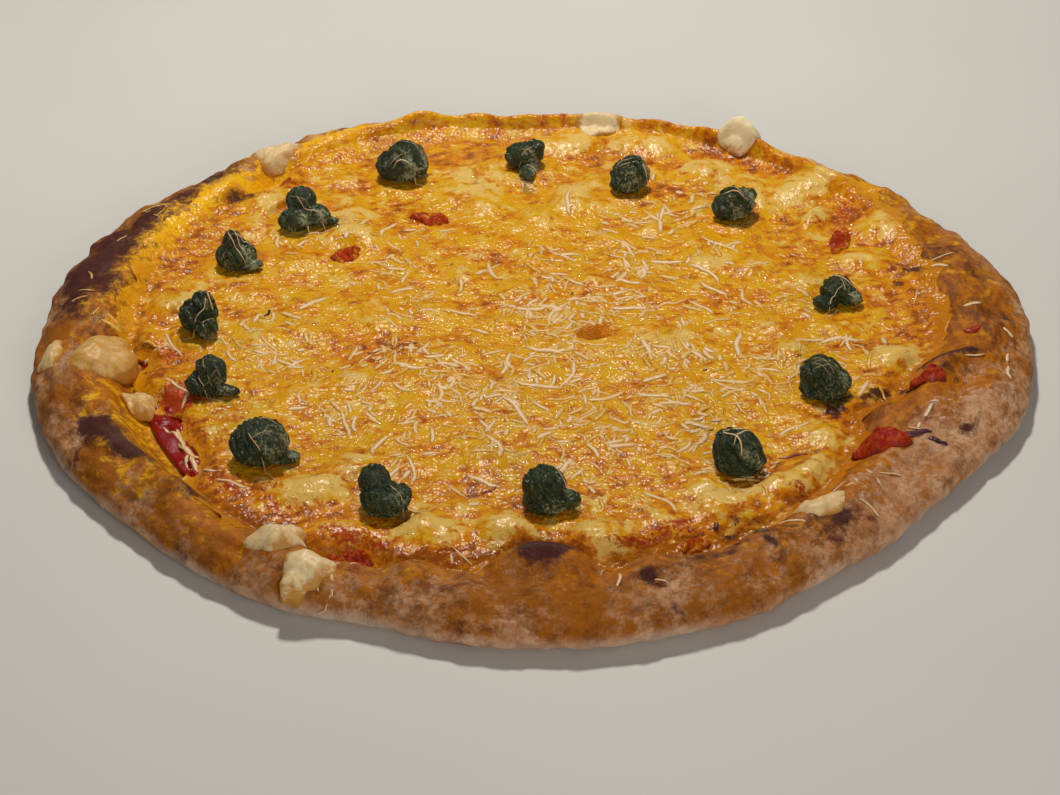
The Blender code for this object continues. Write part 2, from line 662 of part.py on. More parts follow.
def melt_shreds_in(cheese, ground, material):
    """Joins the shreds to the cheese, and removes the loose ones."""
    shreds = new_collection("shreds")
    for index, (xs, ys) in enumerate(shred_routes()):
        make_shred(index, xs, ys, ground, shreds)
    union = cheese.modifiers.new("Melt in", "BOOLEAN")
    union.operation = "UNION"
    union.operand_type = "COLLECTION"
    union.collection = shreds
    union.solver = "MANIFOLD"
    graph = bpy.context.evaluated_depsgraph_get()
    joined = bpy.data.meshes.new_from_object(cheese.evaluated_get(graph))
    cheese.modifiers.remove(union)
    cheese.data = joined
    joined.materials.clear()
    joined.materials.append(material)
    for obj in list(shreds.objects):
        bpy.data.objects.remove(obj, do_unlink=True)
    bpy.data.collections.remove(shreds)


def put_over_the_origin(crust, objects):
    """Shifts the whole pizza so that the middle of its outline is over the origin."""
    points = points_of(crust.data)
    middle = 0.5 * (points.min(axis=0) + points.max(axis=0))
    for obj in objects:
        obj.location = (-middle[0], -middle[1], 0.0)


def main():
    clear_scene()
    pizza = new_collection("provolone pizza")
    baked = finish("baked dough", (0.56, 0.29, 0.10), 0.62)
    red = finish("tomato sauce", (0.42, 0.035, 0.012), 0.3)
    melted = finish("melted provolone", (0.78, 0.44, 0.06), 0.32)
    pale = finish("pale provolone", (0.74, 0.52, 0.20), 0.4)
    green = finish("herb paste", (0.025, 0.07, 0.018), 0.35)
    tomato = finish("tomato", (0.5, 0.05, 0.015), 0.3)

    crust = make_crust(pizza, baked)
    sauce = make_sauce(pizza, red)
    cheese = make_cheese(pizza, melted)
    ground = Ground([crust, sauce, cheese])
    for index, (across, back, lobes) in enumerate(DOLLOPS, 1):
        make_dollop(f"dollop_{index}", across, back, lobes, ground, pizza, green)
    for index, piece in enumerate(RIM_LUMPS, 1):
        make_laid_piece(f"provolone_lump_{index}", piece, LUMP_BLUNTNESS, ground, pizza, pale)
    for index, piece in enumerate(TOMATOES, 1):
        make_laid_piece(f"tomato_{index}", piece, TOMATO_BLUNTNESS, ground, pizza, tomato)
    melt_shreds_in(cheese, ground, melted)
    put_over_the_origin(crust, pizza.objects)


main()
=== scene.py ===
"""The looks of a large provolone pizza, whole and uncut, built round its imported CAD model.

Metres, +Z up. X runs across the pizza and Y from its front edge to its back edge. Every
form below is the CAD model's own, from the same named values, worked out on finer grids
and given the small relief, colours and scattered shreds that the real one shows.
"""

import math

import bpy
import numpy as np
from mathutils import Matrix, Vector


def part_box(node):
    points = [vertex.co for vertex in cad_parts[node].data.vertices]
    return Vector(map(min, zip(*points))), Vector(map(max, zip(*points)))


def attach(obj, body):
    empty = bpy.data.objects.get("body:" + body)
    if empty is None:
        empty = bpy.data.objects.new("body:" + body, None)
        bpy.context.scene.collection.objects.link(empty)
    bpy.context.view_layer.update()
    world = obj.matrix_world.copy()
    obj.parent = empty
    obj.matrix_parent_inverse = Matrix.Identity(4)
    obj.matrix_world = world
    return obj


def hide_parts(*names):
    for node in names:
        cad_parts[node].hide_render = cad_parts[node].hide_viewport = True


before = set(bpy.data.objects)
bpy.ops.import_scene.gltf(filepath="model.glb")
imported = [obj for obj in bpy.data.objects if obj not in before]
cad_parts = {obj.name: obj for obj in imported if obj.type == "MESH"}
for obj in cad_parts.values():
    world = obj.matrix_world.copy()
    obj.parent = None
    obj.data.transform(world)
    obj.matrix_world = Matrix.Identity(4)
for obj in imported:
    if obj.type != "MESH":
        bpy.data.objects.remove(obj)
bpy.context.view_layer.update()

# ---------------------------------------------------------------- the baked dough
# One disc of wheat dough, stretched by hand and baked in a hot oven: a thin well, and a
# rim that has puffed, blistered and browned unevenly. Oil from the cheese has crept up its
# inner side, and its lower edge is still dusty with flour.

MM = 0.001
OVER_ORIGIN = (-0.9127 * MM, 1.3749 * MM)  # puts the middle of the outline over the origin
TURNED_FOOT = 135 * MM
TURNED_EDGE = 170 * MM
TURNED_CREST = 16 * MM
FLOOR = 4.5 * MM
WIDEST = 6 * MM
CREST_SHARE = 0.43
UNDER_SHARE = 0.16
WELL_RINGS = (60 * MM, 105 * MM, 126 * MM)
BASE_RINGS = (120 * MM, 50 * MM)
HALF_LENGTH = 176.5 * MM
HALF_WIDTH = 165 * MM
# Where the outline bulges out or in, as (degrees, half width in degrees, mm)
BULGES = (
    (12, 13, 4.5), (38, 12, 1.5), (88, 9, -3.0), (113, 11, 5.5), (153, 15, 3.5),
    (222, 14, -3.5), (251, 7, -2.5), (276, 9, 2.0), (301, 8, -2.5), (324, 19, -11.5),
)
EDGE_RIPPLE = 0.5 * MM
# Where the rim starts to rise, and how high its crest is, as (degrees, mm)
FOOT_RADIUS = (
    (0, 134), (20, 140), (38, 150), (60, 152), (90, 149), (110, 153), (128, 150),
    (146, 142), (170, 138), (186, 139), (202, 140), (218, 140), (236, 141), (248, 141),
    (258, 131), (270, 119), (282, 128), (298, 131), (312, 128), (324, 121), (337, 115),
    (348, 123),
)
CREST_HEIGHT = (
    (0, 15.5), (40, 13), (65, 12), (90, 12), (112, 13), (140, 14.5), (180, 16.5),
    (215, 15.5), (250, 15.5), (275, 17), (300, 15.5), (330, 15),
)
# Blisters and dents: x, y, half length, half width in mm, turn, height in mm
BLISTERS = (
    (3, -135, 15, 12, 0, 7.5), (-19, -138, 5, 14, 26, -3.0), (24, -139, 5, 13, -26, -2.4),
    (-40, -143, 13, 9, -14, 2.4), (44, -140, 12, 9, 12, 2.8), (78, -124, 14, 9, 32, 2.4),
    (104, -101, 12, 8, 46, 1.8), (112, -47, 13, 10, 14, 6.0), (135, -40, 9, 7, 40, 2.4),
    (147, -19, 15, 5, 14, 3.4), (158, -38, 12, 8, 74, 1.6), (142, 16, 16, 6, -64, 2.6),
    (140, 41, 11, 5, -34, 2.6), (158, 44, 13, 8, -62, 2.2), (163, 2, 12, 7, 84, 1.8),
    (128, 106, 13, 6, -42, 1.8), (88, 135, 12, 5, -30, 1.4), (-46, 156, 12, 6, 10, 2.8),
    (-82, 144, 12, 6, 26, 1.8), (-116, 97, 11, 8, 42, 3.2), (-139, 84, 12, 7, 58, 2.0),
    (-161, 32, 17, 10, 84, 2.4), (-150, -3, 15, 4.5, 8, -2.4), (-158, -40, 12, 9, -72, 2.2),
    (-144, -66, 12, 9, -58, 2.6), (-121, -95, 14, 10, -42, 2.6), (-97, -112, 6, 12, 44, -2.0),
    (-80, -134, 14, 11, -25, 2.6), (-60, -146, 5, 10, 20, -1.6),
)
DOUGH_RIPPLE = 0.6 * MM
DOUGH_STEPS = 900
# Where the dough is scorched purple-brown: the same, with how much as the height
SCORCHED = (
    (-121, 109, 13, 6, 42, 0.9), (-133, 93, 12, 7, 52, 0.9), (-143, 78, 12, 8, 58, 1.0),
    (-153, 64, 13, 13, 62, 1.1), (-159, 48, 14, 14, 70, 1.2), (-161, 30, 14, 15, 84, 1.2),
    (-165, 13, 11, 9, 88, 0.9), (-111, 96, 9, 4, 20, 0.8), (-149, -4, 12, 3, 8, 0.8),
    (-173, -30, 8, 5, 80, 0.45), (-158, -43, 7, 4, 50, 0.45), (-148, -62, 10, 7, -55, 1.9),
    (-138, -73, 11, 5, -48, 1.3), (-155, -74, 5, 6, 80, 0.5), (-128, -80, 10, 5, -45, 0.8),
    (-112, -98, 7, 6, 20, 1.3), (-115, -124, 8, 4, -40, 0.5), (-98, -116, 5, 3, 0, 0.4),
    (-27, -150, 6, 3, 20, 0.6), (-22, -164, 5, 2.5, 0, 0.5), (3, -138, 10, 6, 4, 2.1),
    (9, -127, 3, 4, 30, 0.5), (33, -133, 12, 5, 8, 0.7),
    (36, -147, 5, 3.5, 0, 1.2), (25, -151, 6, 4, 10, 0.6), (64, -114, 4, 2.5, 40, 0.8),
    (74, -117, 6, 3, -40, 0.9), (66, -108, 3, 2, 0, 0.7), (96, -112, 12, 7, 30, 0.5),
    (92, -105, 4, 3, 0, 0.5), (104, -42, 4, 9, -10, 1.1), (114, -37, 8, 3, 10, 0.6),
    (134, -55, 7, 4, 20, 0.6), (147, -58, 4, 3, 30, 0.8), (160, -57, 3, 3, 0, 0.5),
    (149, -18, 13, 2.6, 12, 1.2), (137, -20, 5, 3, 40, 0.8), (168, 10, 2.5, 5, 10, 0.9),
    (160, 7, 4, 2, -20, 0.6), (165, 20, 2.5, 4, 30, 0.7), (150, 56, 9, 6, -50, 0.7),
    (160, 38, 8, 5, -60, 0.5), (140, 45, 8, 3, -30, 0.7), (133, 38, 4, 6, 0, 0.5),
    (-43, 158, 6, 3, 0, 0.8), (-75, 150, 12, 3, 22, 0.6), (-95, 139, 8, 3, 36, 0.6),
    (0, 163, 18, 2.5, 0, 0.4), (138, 100, 8, 3, -50, 0.4), (50, -160, 5, 3, 10, 0.4),
    (45, -157, 3, 2.5, 0, 0.6), (54, -136, 5, 2.5, 10, 0.8), (76, -128, 5, 2, -40, 1.2),
    (78, -134, 4, 2, 20, 0.8), (72, -120, 5, 1.8, -30, 1.0), (98, -120, 6, 4, 20, 0.8),
    (93, -111, 5, 2.5, 20, 0.9), (86, -121, 4, 2, 60, 0.7), (101, -113, 4, 3, 40, 0.8),
    (66, -129, 4, 2, 20, 0.9), (61, -134, 5, 2, 10, 0.8), (84, -135, 3, 2, 0, 0.5),
    (47, -142, 4, 2, 0, 0.7), (69, -141, 4, 2, 40, 0.5), (110, -110, 5, 2, 40, 0.5),
    (132, -30, 6, 2, 15, 0.8), (141, -26, 6, 2, 20, 0.8), (120, -33, 6, 3, 10, 0.9),
)
# How far the orange oil has crept past the foot of the rim, as (degrees, mm)
OIL_REACH = (
    (0, 38), (20, 34), (40, 20), (70, 8), (95, 7), (118, 9), (140, 14), (165, 19),
    (182, 20), (196, 17), (212, 20), (232, 18), (246, 14), (262, 17), (272, 23), (284, 21),
    (300, 20), (318, 18), (332, 24), (345, 33),
)
# Where the oiled dough is toasted a deep brown, or paler if how much is below nothing.
# The two paler ones, along the back of the rim, are painted light on its shaded wall.
DARKENED_AND_LIT = (
    (112, -47, 16, 11, 14, 1.1), (163, -2, 9, 26, 0, 0.8), (146, 14, 9, 20, -5, 0.9),
    (128, 28, 6, 16, 0, 0.6), (138, -30, 14, 8, 20, 0.9), (4, -132, 17, 11, 0, 1.1),
    (38, -133, 20, 7, 5, 0.5), (-104, -103, 22, 8, -38, 0.4), (-148, -66, 18, 9, -60, 0.5),
    (-150, 10, 16, 9, 70, 0.5), (-158, -38, 9, 14, 0, 0.2), (150, 52, 16, 9, -40, 0.7),
    (-30, -152, 30, 6, 0, 0.3), (82, -122, 26, 7, 30, 0.6), (-125, 104, 20, 8, 50, 0.1),
    (0, 152, 100, 14, 0, -0.7), (-85, 126, 30, 12, 28, -0.9),
)
# How strongly the oven has browned the rim all round, as (degrees, thousandths)
BROWNING = (
    (0, 560), (25, 520), (50, 420), (90, 520), (120, 600), (150, 700), (180, 640),
    (205, 600), (228, 680), (244, 480), (258, 560), (272, 680), (292, 680), (306, 420),
    (318, 220), (338, 200), (350, 380),
)
# How golden, rather than brown, the oil on the rim is all round, as (degrees, thousandths).
# At the back of the rim it is raised further, as painted light on a wall the key leaves in shade.
GILDING_AND_BACK_LIGHT = (
    (0, 50), (25, 200), (50, 600), (80, 900), (105, 1000), (125, 1000), (150, 1000), (164, 500),
    (185, 300), (205, 400), (235, 150), (258, 100), (280, 0), (310, 50), (340, 0),
)

PALE_DOUGH = (0.64, 0.40, 0.235, 1)
TAN_DOUGH = (0.47, 0.21, 0.088, 1)
BROWNED_DOUGH = (0.34, 0.105, 0.005, 1)
DARK_CRUST = (0.15, 0.038, 0.004, 1)
DARK_FLECK = (0.12, 0.04, 0.008, 1)
SCORCHED_DOUGH = (0.050, 0.012, 0.015, 1)
OILED_DOUGH = (0.52, 0.165, 0.003, 1)
STAINED_DOUGH = (0.26, 0.06, 0.003, 1)
# Golden oil, lifted brighter still as painted light where the back of the rim lies in shade
GILDED_AND_LIT_DOUGH = (0.94, 0.48, 0.008, 1)
FLOUR = (0.60, 0.49, 0.40, 1)


def eased(share):
    """A share from 0 to 1 that leaves 0 and reaches 1 slowly: three times its square less
    twice its cube."""
    return share * share * (3.0 - 2.0 * share)


def around(azimuth, stations):
    """Reads (degrees, mm) stations at each azimuth, easing from one to the next."""
    degrees = np.degrees(azimuth) % 360.0
    at = np.array([degree for degree, _ in stations] + [stations[0][0] + 360.0])
    value = np.array([size for _, size in stations] + [stations[0][1]]) * MM
    before = np.searchsorted(at, degrees, side="right") - 1
    share = eased((degrees - at[before]) / (at[before + 1] - at[before]))
    return value[before] * (1.0 - share) + value[before + 1] * share


def share_around(azimuth, stations):
    """The same for (degrees, thousandths) stations, as a share."""
    return around(azimuth, stations) / MM / 1000


def plan(radius, azimuth):
    """The place, seen from above, this far from the middle and in this direction."""
    return radius * np.cos(azimuth), radius * np.sin(azimuth)


def ripples(x, y, length, seed):
    """Unevenness with a spread of 1: seven sine waves of about this length, run any way."""
    draw = np.random.RandomState(seed)
    total = np.zeros_like(x)
    for _ in range(7):
        heading, phase = draw.uniform(0.0, 2.0 * math.pi, 2)
        number = 2.0 * math.pi / (length * draw.uniform(0.7, 1.4))
        along = x * math.cos(heading) + y * math.sin(heading)
        total += np.sin(along * number + phase)
    return total / math.sqrt(3.5)


def grains(x, y, size, seed):
    """A bed of round grains, 0 to 1: one lies off the middle of each square cell, and a
    point takes the highest of the round caps of the grains in the nine cells about it."""
    draw = np.random.RandomState(seed)
    off_middle = draw.uniform(0.0, 1.0, (2, 64, 64))
    column, row = np.floor(x / size).astype(int), np.floor(y / size).astype(int)
    highest = np.zeros_like(x)
    for i in (column - 1, column, column + 1):
        for j in (row - 1, row, row + 1):
            dx = (i + off_middle[0][i % 64, j % 64]) - x / size
            dy = (j + off_middle[1][i % 64, j % 64]) - y / size
            highest = np.maximum(highest, 1.0 - (dx * dx + dy * dy) / 0.81)
    return highest


def mounds(x, y, table, sharpness=1.0):
    """The sum of mounds, each its height times exp(-1.6 d^(2 sharpness)), where d is the
    distance from its middle as a share of its own half sizes."""
    total = np.zeros_like(x)
    for across, back, half_length, half_width, turn, height in table:
        c, s = math.cos(math.radians(turn)), math.sin(math.radians(turn))
        dx, dy = x - across * MM, y - back * MM
        along = (dx * c + dy * s) / (half_length * MM)
        aside = (dy * c - dx * s) / (half_width * MM)
        total += height * MM * np.exp(-1.6 * (along**2 + aside**2) ** sharpness)
    return total


def patches(x, y, table):
    """How much of a patch's colour lies at each place: its mounds, in mm."""
    return mounds(x, y, table) / MM


def edge_radius(azimuth):
    """The outline: an ellipse with flats and bulges on it, a little uneven."""
    radius = HALF_LENGTH * HALF_WIDTH / np.hypot(
        HALF_WIDTH * np.cos(azimuth), HALF_LENGTH * np.sin(azimuth)
    )
    degrees = np.degrees(azimuth)
    for at, half_width, height in BULGES:
        off = (degrees - at + 180.0) % 360.0 - 180.0
        radius = radius + height * MM * np.exp(-((off / half_width) ** 2))
    return radius + EDGE_RIPPLE * ripples(*plan(TURNED_EDGE, azimuth), 60 * MM, 3)


def dough_relief(x, y):
    """How far blisters, dents and ripples stand off the smooth rim."""
    return mounds(x, y, BLISTERS) + DOUGH_RIPPLE * ripples(x, y, 20 * MM, 7)


def pulled_height(z, azimuth, x, y):
    """The turned height, raised to the crest here, with the relief on it."""
    lift = np.clip((z - FLOOR) / (TURNED_CREST - FLOOR), 0.0, 1.0)
    relief = (1.0 - (1.0 - lift) ** 2) * dough_relief(x, y)
    return z + lift * (around(azimuth, CREST_HEIGHT) - TURNED_CREST) + relief


def dough_height(x, y):
    """Top of the dough: a raised cosine from the foot to the crest, then a quarter ellipse."""
    azimuth = np.arctan2(y, x)
    foot = around(azimuth, FOOT_RADIUS)
    across = (np.hypot(x, y) - foot) / (edge_radius(azimuth) - foot)
    rise = 0.5 - 0.5 * np.cos(math.pi * np.clip(across / CREST_SHARE, 0.0, 1.0))
    fall = np.clip((across - CREST_SHARE) / (1.0 - CREST_SHARE), 0.0, 1.0)
    inner = FLOOR + rise * (TURNED_CREST - FLOOR)
    outer = WIDEST + (TURNED_CREST - WIDEST) * np.sqrt(1.0 - fall * fall)
    return pulled_height(np.where(across < CREST_SHARE, inner, outer), azimuth, x, y)


def turned_profile(inner, outer, under):
    """Rows of (radius, height): well, inner slope, outer side, curl and underside."""
    crest_at = TURNED_FOOT + CREST_SHARE * (TURNED_EDGE - TURNED_FOOT)
    rows = [(radius, FLOOR) for radius in WELL_RINGS]
    for share in np.arange(inner) / inner:
        rise = 0.5 - 0.5 * math.cos(math.pi * share)
        radius = TURNED_FOOT + share * (crest_at - TURNED_FOOT)
        rows.append((radius, FLOOR + rise * (TURNED_CREST - FLOOR)))
    for turn in 0.5 * math.pi * np.arange(outer) / outer:
        radius = crest_at + (TURNED_EDGE - crest_at) * math.sin(turn)
        rows.append((radius, WIDEST + (TURNED_CREST - WIDEST) * math.cos(turn)))
    curl = UNDER_SHARE * (TURNED_EDGE - TURNED_FOOT)
    for turn in 0.5 * math.pi * np.arange(under + 1) / under:
        radius = TURNED_EDGE - curl * (1.0 - math.cos(turn))
        rows.append((radius, WIDEST * (1.0 - math.sin(turn))))
    rows += [(radius, 0.0) for radius in BASE_RINGS]
    return np.array(rows).T


def ring_faces(rings, steps):
    """Quads between rings of points, rows top to bottom, closed all the way round."""
    first = (np.arange(rings - 1)[:, None] * steps + np.arange(steps)).ravel()
    second = (np.arange(rings - 1)[:, None] * steps + (np.arange(steps) + 1) % steps).ravel()
    return np.stack([first, first + steps, second + steps, second], axis=1)


def closed_rings(grid, start, end):
    """Rings of points as one closed skin: a point at each end closes the hole there."""
    rings, steps, _ = grid.shape
    points = np.concatenate([grid.reshape(-1, 3), [start, end]])
    turn = np.arange(steps)
    cap = np.stack([np.full(steps, rings * steps), turn, (turn + 1) % steps], axis=1)
    last = (rings - 1) * steps
    base = np.stack(
        [np.full(steps, rings * steps + 1), last + (turn + 1) % steps, last + turn], axis=1
    )
    return points, ring_faces(rings, steps).tolist() + cap.tolist() + base.tolist()


def normals_of(grid):
    """Outward unit normals of rings of points, from the differences along and round."""
    down = np.gradient(grid, axis=0)
    onward = np.roll(grid, -1, axis=1) - np.roll(grid, 1, axis=1)
    normal = np.cross(down, onward)
    return normal / np.maximum(np.linalg.norm(normal, axis=2, keepdims=True), 1e-12)


def add_piece(name, points, faces, material, **shares):
    """A smooth mesh at its own place. Each named share has a number for each point, and 0
    for the last points, which close a form where nobody sees it."""
    mesh = bpy.data.meshes.new(name)
    shifted = points + (*OVER_ORIGIN, 0.0)
    mesh.from_pydata(shifted.tolist(), [], faces)
    for share, values in shares.items():
        at_points = np.zeros(len(points), np.float32)
        at_points[:np.size(values)] = np.ravel(values)
        mesh.attributes.new(share, "FLOAT", "POINT").data.foreach_set("value", at_points)
    mesh.materials.append(material)
    mesh.shade_smooth()
    piece = bpy.data.objects.new(name, mesh)
    bpy.context.scene.collection.objects.link(piece)
    return piece


def wire(tree, node, sockets):
    """Gives each named socket a number, a colour or another node's output."""
    for socket, value in sockets.items():
        if isinstance(value, bpy.types.NodeSocket):
            tree.links.new(value, node.inputs[socket])
        else:
            node.inputs[socket].default_value = value


def join(tree, kind, sockets, **settings):
    """One shader node of this kind, with its settings and its wired sockets."""
    made = tree.nodes.new("ShaderNode" + kind)
    for setting, value in settings.items():
        setattr(made, setting, value)
    wire(tree, made, sockets)
    return made


def here(tree):
    """The place on the piece."""
    return tree.nodes["Where"].outputs["Object"]


def noise(tree, size, detail=3.0, rough=0.55, where=None):
    """Cloudy noise about 0.5, with spots of this size, read at the place on the piece."""
    if where is None:
        where = here(tree)
    sockets = {"Vector": where, "Scale": 1.0 / size, "Detail": detail, "Roughness": rough}
    return join(tree, "TexNoise", sockets).outputs[0]


def ramp(tree, value, low, high, bottom=0.0, top=1.0):
    """Runs from bottom to top as the value goes from low to high, and no further."""
    sockets = {"Value": value, "From Min": low, "From Max": high, "To Min": bottom, "To Max": top}
    return join(tree, "MapRange", sockets, interpolation_type="SMOOTHSTEP").outputs[0]


def sums(tree, operation, first, second):
    """Two values put through one arithmetic operation."""
    return join(tree, "Math", {0: first, 1: second}, operation=operation).outputs[0]


def blend(tree, share, first, second):
    """The first colour, covered by the second as much as the share says."""
    return join(tree, "Mix", {0: share, 6: first, 7: second}, data_type="RGBA").outputs[2]


def share_of(tree, name):
    """A named share of the piece, as its points have it."""
    return join(tree, "Attribute", {}, attribute_name=name).outputs["Fac"]


def frayed(tree, name, cloud, low, high, bottom, top):
    """A named share of the piece with a ramp of a cloud added, so that its edge frays."""
    return sums(tree, "ADD", share_of(tree, name), ramp(tree, cloud, low, high, bottom, top))


def along_rim(tree):
    """A place at which noise is drawn out over twice as long along the rim: 60 mm times
    the way from the pizza's middle, plus the distance from the middle straight up."""
    flat = {0: here(tree), 1: (1.0, 1.0, 0.0)}
    flat = join(tree, "VectorMath", flat, operation="MULTIPLY").outputs[0]
    way = join(tree, "VectorMath", {0: flat}, operation="NORMALIZE").outputs[0]
    way = join(tree, "VectorMath", {0: way, "Scale": 60 * MM}, operation="SCALE").outputs[0]
    out = join(tree, "VectorMath", {0: here(tree)}, operation="LENGTH").outputs["Value"]
    up = join(tree, "CombineXYZ", {2: out}).outputs[0]
    return join(tree, "VectorMath", {0: way, 1: up}, operation="ADD").outputs[0]


def food_material(name):
    """An empty food finish: its node tree and shader, with the place on the piece ready."""
    material = bpy.data.materials.new(name)
    material.use_nodes = True
    tree = material.node_tree
    tree.nodes.new("ShaderNodeTexCoord").name = "Where"
    return material, tree, tree.nodes["Principled BSDF"]


def coat(tree, shader, colour, rough, shine=0.5, glow=0.0, reach=(1.0, 0.5, 0.2), depth=2 * MM):
    """Colour and gloss, and how much light glows through the flesh: red, green and blue
    each go as deep as their reach times the depth."""
    wire(tree, shader, {
        "Base Color": colour, "Roughness": rough, "Specular IOR Level": shine,
        "Subsurface Weight": glow, "Subsurface Radius": reach, "Subsurface Scale": depth,
    })


def bumped(tree, shader, *layers):
    """Stacks bumps on the shader's normal, each as (height output, depth in metres)."""
    normal = None
    for height, depth in layers:
        sockets = {"Height": height, "Distance": depth, "Strength": 1.0}
        if normal:
            sockets["Normal"] = normal
        normal = join(tree, "Bump", sockets).outputs[0]
    tree.links.new(normal, shader.inputs["Normal"])


dough_skin, tree, shader = food_material("baked dough")
mottle = ramp(tree, noise(tree, 9 * MM, 5.0, 0.62), 0.3, 0.7)
colour = blend(tree, mottle, PALE_DOUGH, TAN_DOUGH)
fine = noise(tree, 2.4 * MM, 4.0, 0.7)
browned = frayed(tree, "browned", fine, 0.34, 0.66, -0.2, 0.2)
colour = blend(tree, ramp(tree, browned, 0.1, 0.88), colour, BROWNED_DOUGH)
oil = ramp(tree, frayed(tree, "oiled", fine, 0.36, 0.64, -0.35, 0.35), 0.08, 0.76)
gilt_and_light = frayed(tree, "gilded", noise(tree, 6 * MM, 4.0, 0.65), 0.3, 0.7, -0.4, 0.4)
stain = ramp(tree, noise(tree, 5 * MM, 5.0, 0.65), 0.42, 0.62, 0.0, 0.6)
oily = blend(tree, stain, OILED_DOUGH, STAINED_DOUGH)
# Golden oil, strongest at the back of the rim, where it is partly painted light on the shaded wall
oily = blend(tree, ramp(tree, gilt_and_light, 0.2, 0.8), oily, GILDED_AND_LIT_DOUGH)
colour = blend(tree, oil, colour, oily)
streak = noise(tree, 2.6 * MM, 4.0, 0.7, along_rim(tree))
# Dark toasted marks; their paler counterparts along the back of the rim are painted light
dark = frayed(tree, "darkened", streak, 0.34, 0.66, -0.45, 0.55)
dark = sums(tree, "ADD", dark, ramp(tree, noise(tree, 11 * MM, 4.0, 0.6), 0.34, 0.66, -0.25, 0.3))
colour = blend(tree, ramp(tree, dark, 0.05, 1.2, 0.0, 0.9), colour, DARK_CRUST)
ragged = noise(tree, 4.5 * MM, 5.0, 0.72)
scorch = frayed(tree, "scorched", ragged, 0.34, 0.66, -0.55, 0.4)
colour = blend(tree, ramp(tree, scorch, 0.0, 1.25, 0.0, 0.95), colour, SCORCHED_DOUGH)
pores = noise(tree, 1.1 * MM, 4.0, 0.75)
colour = blend(tree, ramp(tree, pores, 0.42, 0.7, 0.0, 0.24), colour, DARK_CRUST)
fleck = ramp(tree, noise(tree, 1.6 * MM, 3.0, 0.6), 0.58, 0.70, 0.0, 0.35)
colour = blend(tree, fleck, colour, DARK_FLECK)
dust = sums(tree, "MULTIPLY", share_of(tree, "floury"), ramp(tree, fine, 0.35, 0.65, 0.5, 1.0))
colour = blend(tree, dust, colour, FLOUR)
coat(tree, shader, colour, ramp(tree, oil, 0.0, 1.0, 0.8, 0.34), 0.12, glow=0.12)
bumped(tree, shader, (ragged, 0.45 * MM), (streak, 0.12 * MM), (pores, 0.35 * MM))

turned_radius, turned_height = turned_profile(inner=38, outer=44, under=12)
azimuth = np.linspace(0.0, 2.0 * math.pi, DOUGH_STEPS, endpoint=False)[None, :]
foot, edge = around(azimuth, FOOT_RADIUS), edge_radius(azimuth)
across = (turned_radius[:, None] - TURNED_FOOT) / (TURNED_EDGE - TURNED_FOOT)
pulled = np.where(
    across < 0.0, turned_radius[:, None] * foot / TURNED_FOOT, foot + across * (edge - foot)
)
x, y = plan(pulled, azimuth)
z = pulled_height(turned_height[:, None] + 0.0 * x, azimuth, x, y)
grid = np.stack([x, y, z], axis=2)
on_rim = np.clip((across - 0.35) / 0.2, 0.0, 1.0) * np.clip(z / (3 * MM), 0.0, 1.0)
steep = y * 0.6 + z * 1.3
fine_relief = 0.26 * MM * ripples(x + z, steep, 11 * MM, 41)
fine_relief += 0.12 * MM * ripples(x - z, steep, 4.5 * MM, 42)
fine_relief += 0.4 * MM * grains(x, y + z, 9 * MM, 43) ** 4 - 0.1 * MM
grid += normals_of(grid) * (fine_relief * on_rim)[:, :, None]
grid[:, :, 2] = np.maximum(grid[:, :, 2], 0.0)
x, y, z = np.moveaxis(grid, 2, 0)

tops = np.clip(dough_relief(x, y) / (4 * MM), -1.0, 1.0)
browned = share_around(azimuth, BROWNING) + 0.0 * x
browned += 0.2 * tops + 0.13 * ripples(x, y, 34 * MM, 44) + 0.1 * ripples(x, y, 12 * MM, 45)
browned -= 0.5 * np.clip((9 * MM - z) / (6 * MM), 0.0, 1.0)
crept = around(azimuth, OIL_REACH) + 3.5 * MM * ripples(x, y, 16 * MM, 46)
oiled = np.clip((foot + crept - pulled) / (15 * MM) + 0.5, 0.0, 1.0)
gilded = share_around(azimuth, GILDING_AND_BACK_LIGHT) + 0.0 * x
floury = np.clip((8 * MM - z) / (5 * MM), 0.0, 1.0) * (across > 0.8)
floury = floury * np.clip(0.55 + 0.35 * ripples(x, y, 45 * MM, 47), 0.1, 0.9)
scorched = np.minimum(1.3 * patches(x, y, SCORCHED), 1.8)
points, faces = closed_rings(grid, (0.0, 0.0, FLOOR), (0.0, 0.0, 0.0))
dough = add_piece(
    "baked_dough", points, faces, dough_skin, browned=browned, oiled=oiled, gilded=gilded,
    floury=floury, scorched=scorched, darkened=patches(x, y, DARKENED_AND_LIT),
)
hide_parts("crust")
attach(dough, "root")

# ---------------------------------------------------------------- the tomato sauce
# Crushed tomato spread thinly over the well before the cheese went on. It shows red and
# wet where the cheese has drawn back from the rim, most of all at the left.

GAP = 0.3 * MM
SAUCE_BOTTOM = FLOOR + GAP
SAUCE_TOP = SAUCE_BOTTOM + 1.2 * MM
SAUCE_CLEAR_OF_FOOT = 0.6 * MM
SAUCE_CELLS = 150
SAUCE_RED = (0.26, 0.004, 0.002, 1)
SAUCE_PULP = (0.31, 0.005, 0.003, 1)
SAUCE_FILM = (0.35, 0.014, 0.010, 1)


def disc_grid(cells):
    """(share of the radius, azimuth) over a square grid drawn out to a round one: x is
    u sqrt(1 - v^2 / 2) and y is v sqrt(1 - u^2 / 2)."""
    u, v = np.meshgrid(np.linspace(-1.0, 1.0, cells + 1), np.linspace(-1.0, 1.0, cells + 1))
    round_x, round_y = u * np.sqrt(1.0 - 0.5 * v * v), v * np.sqrt(1.0 - 0.5 * u * u)
    return np.hypot(round_x, round_y), np.arctan2(round_y, round_x)


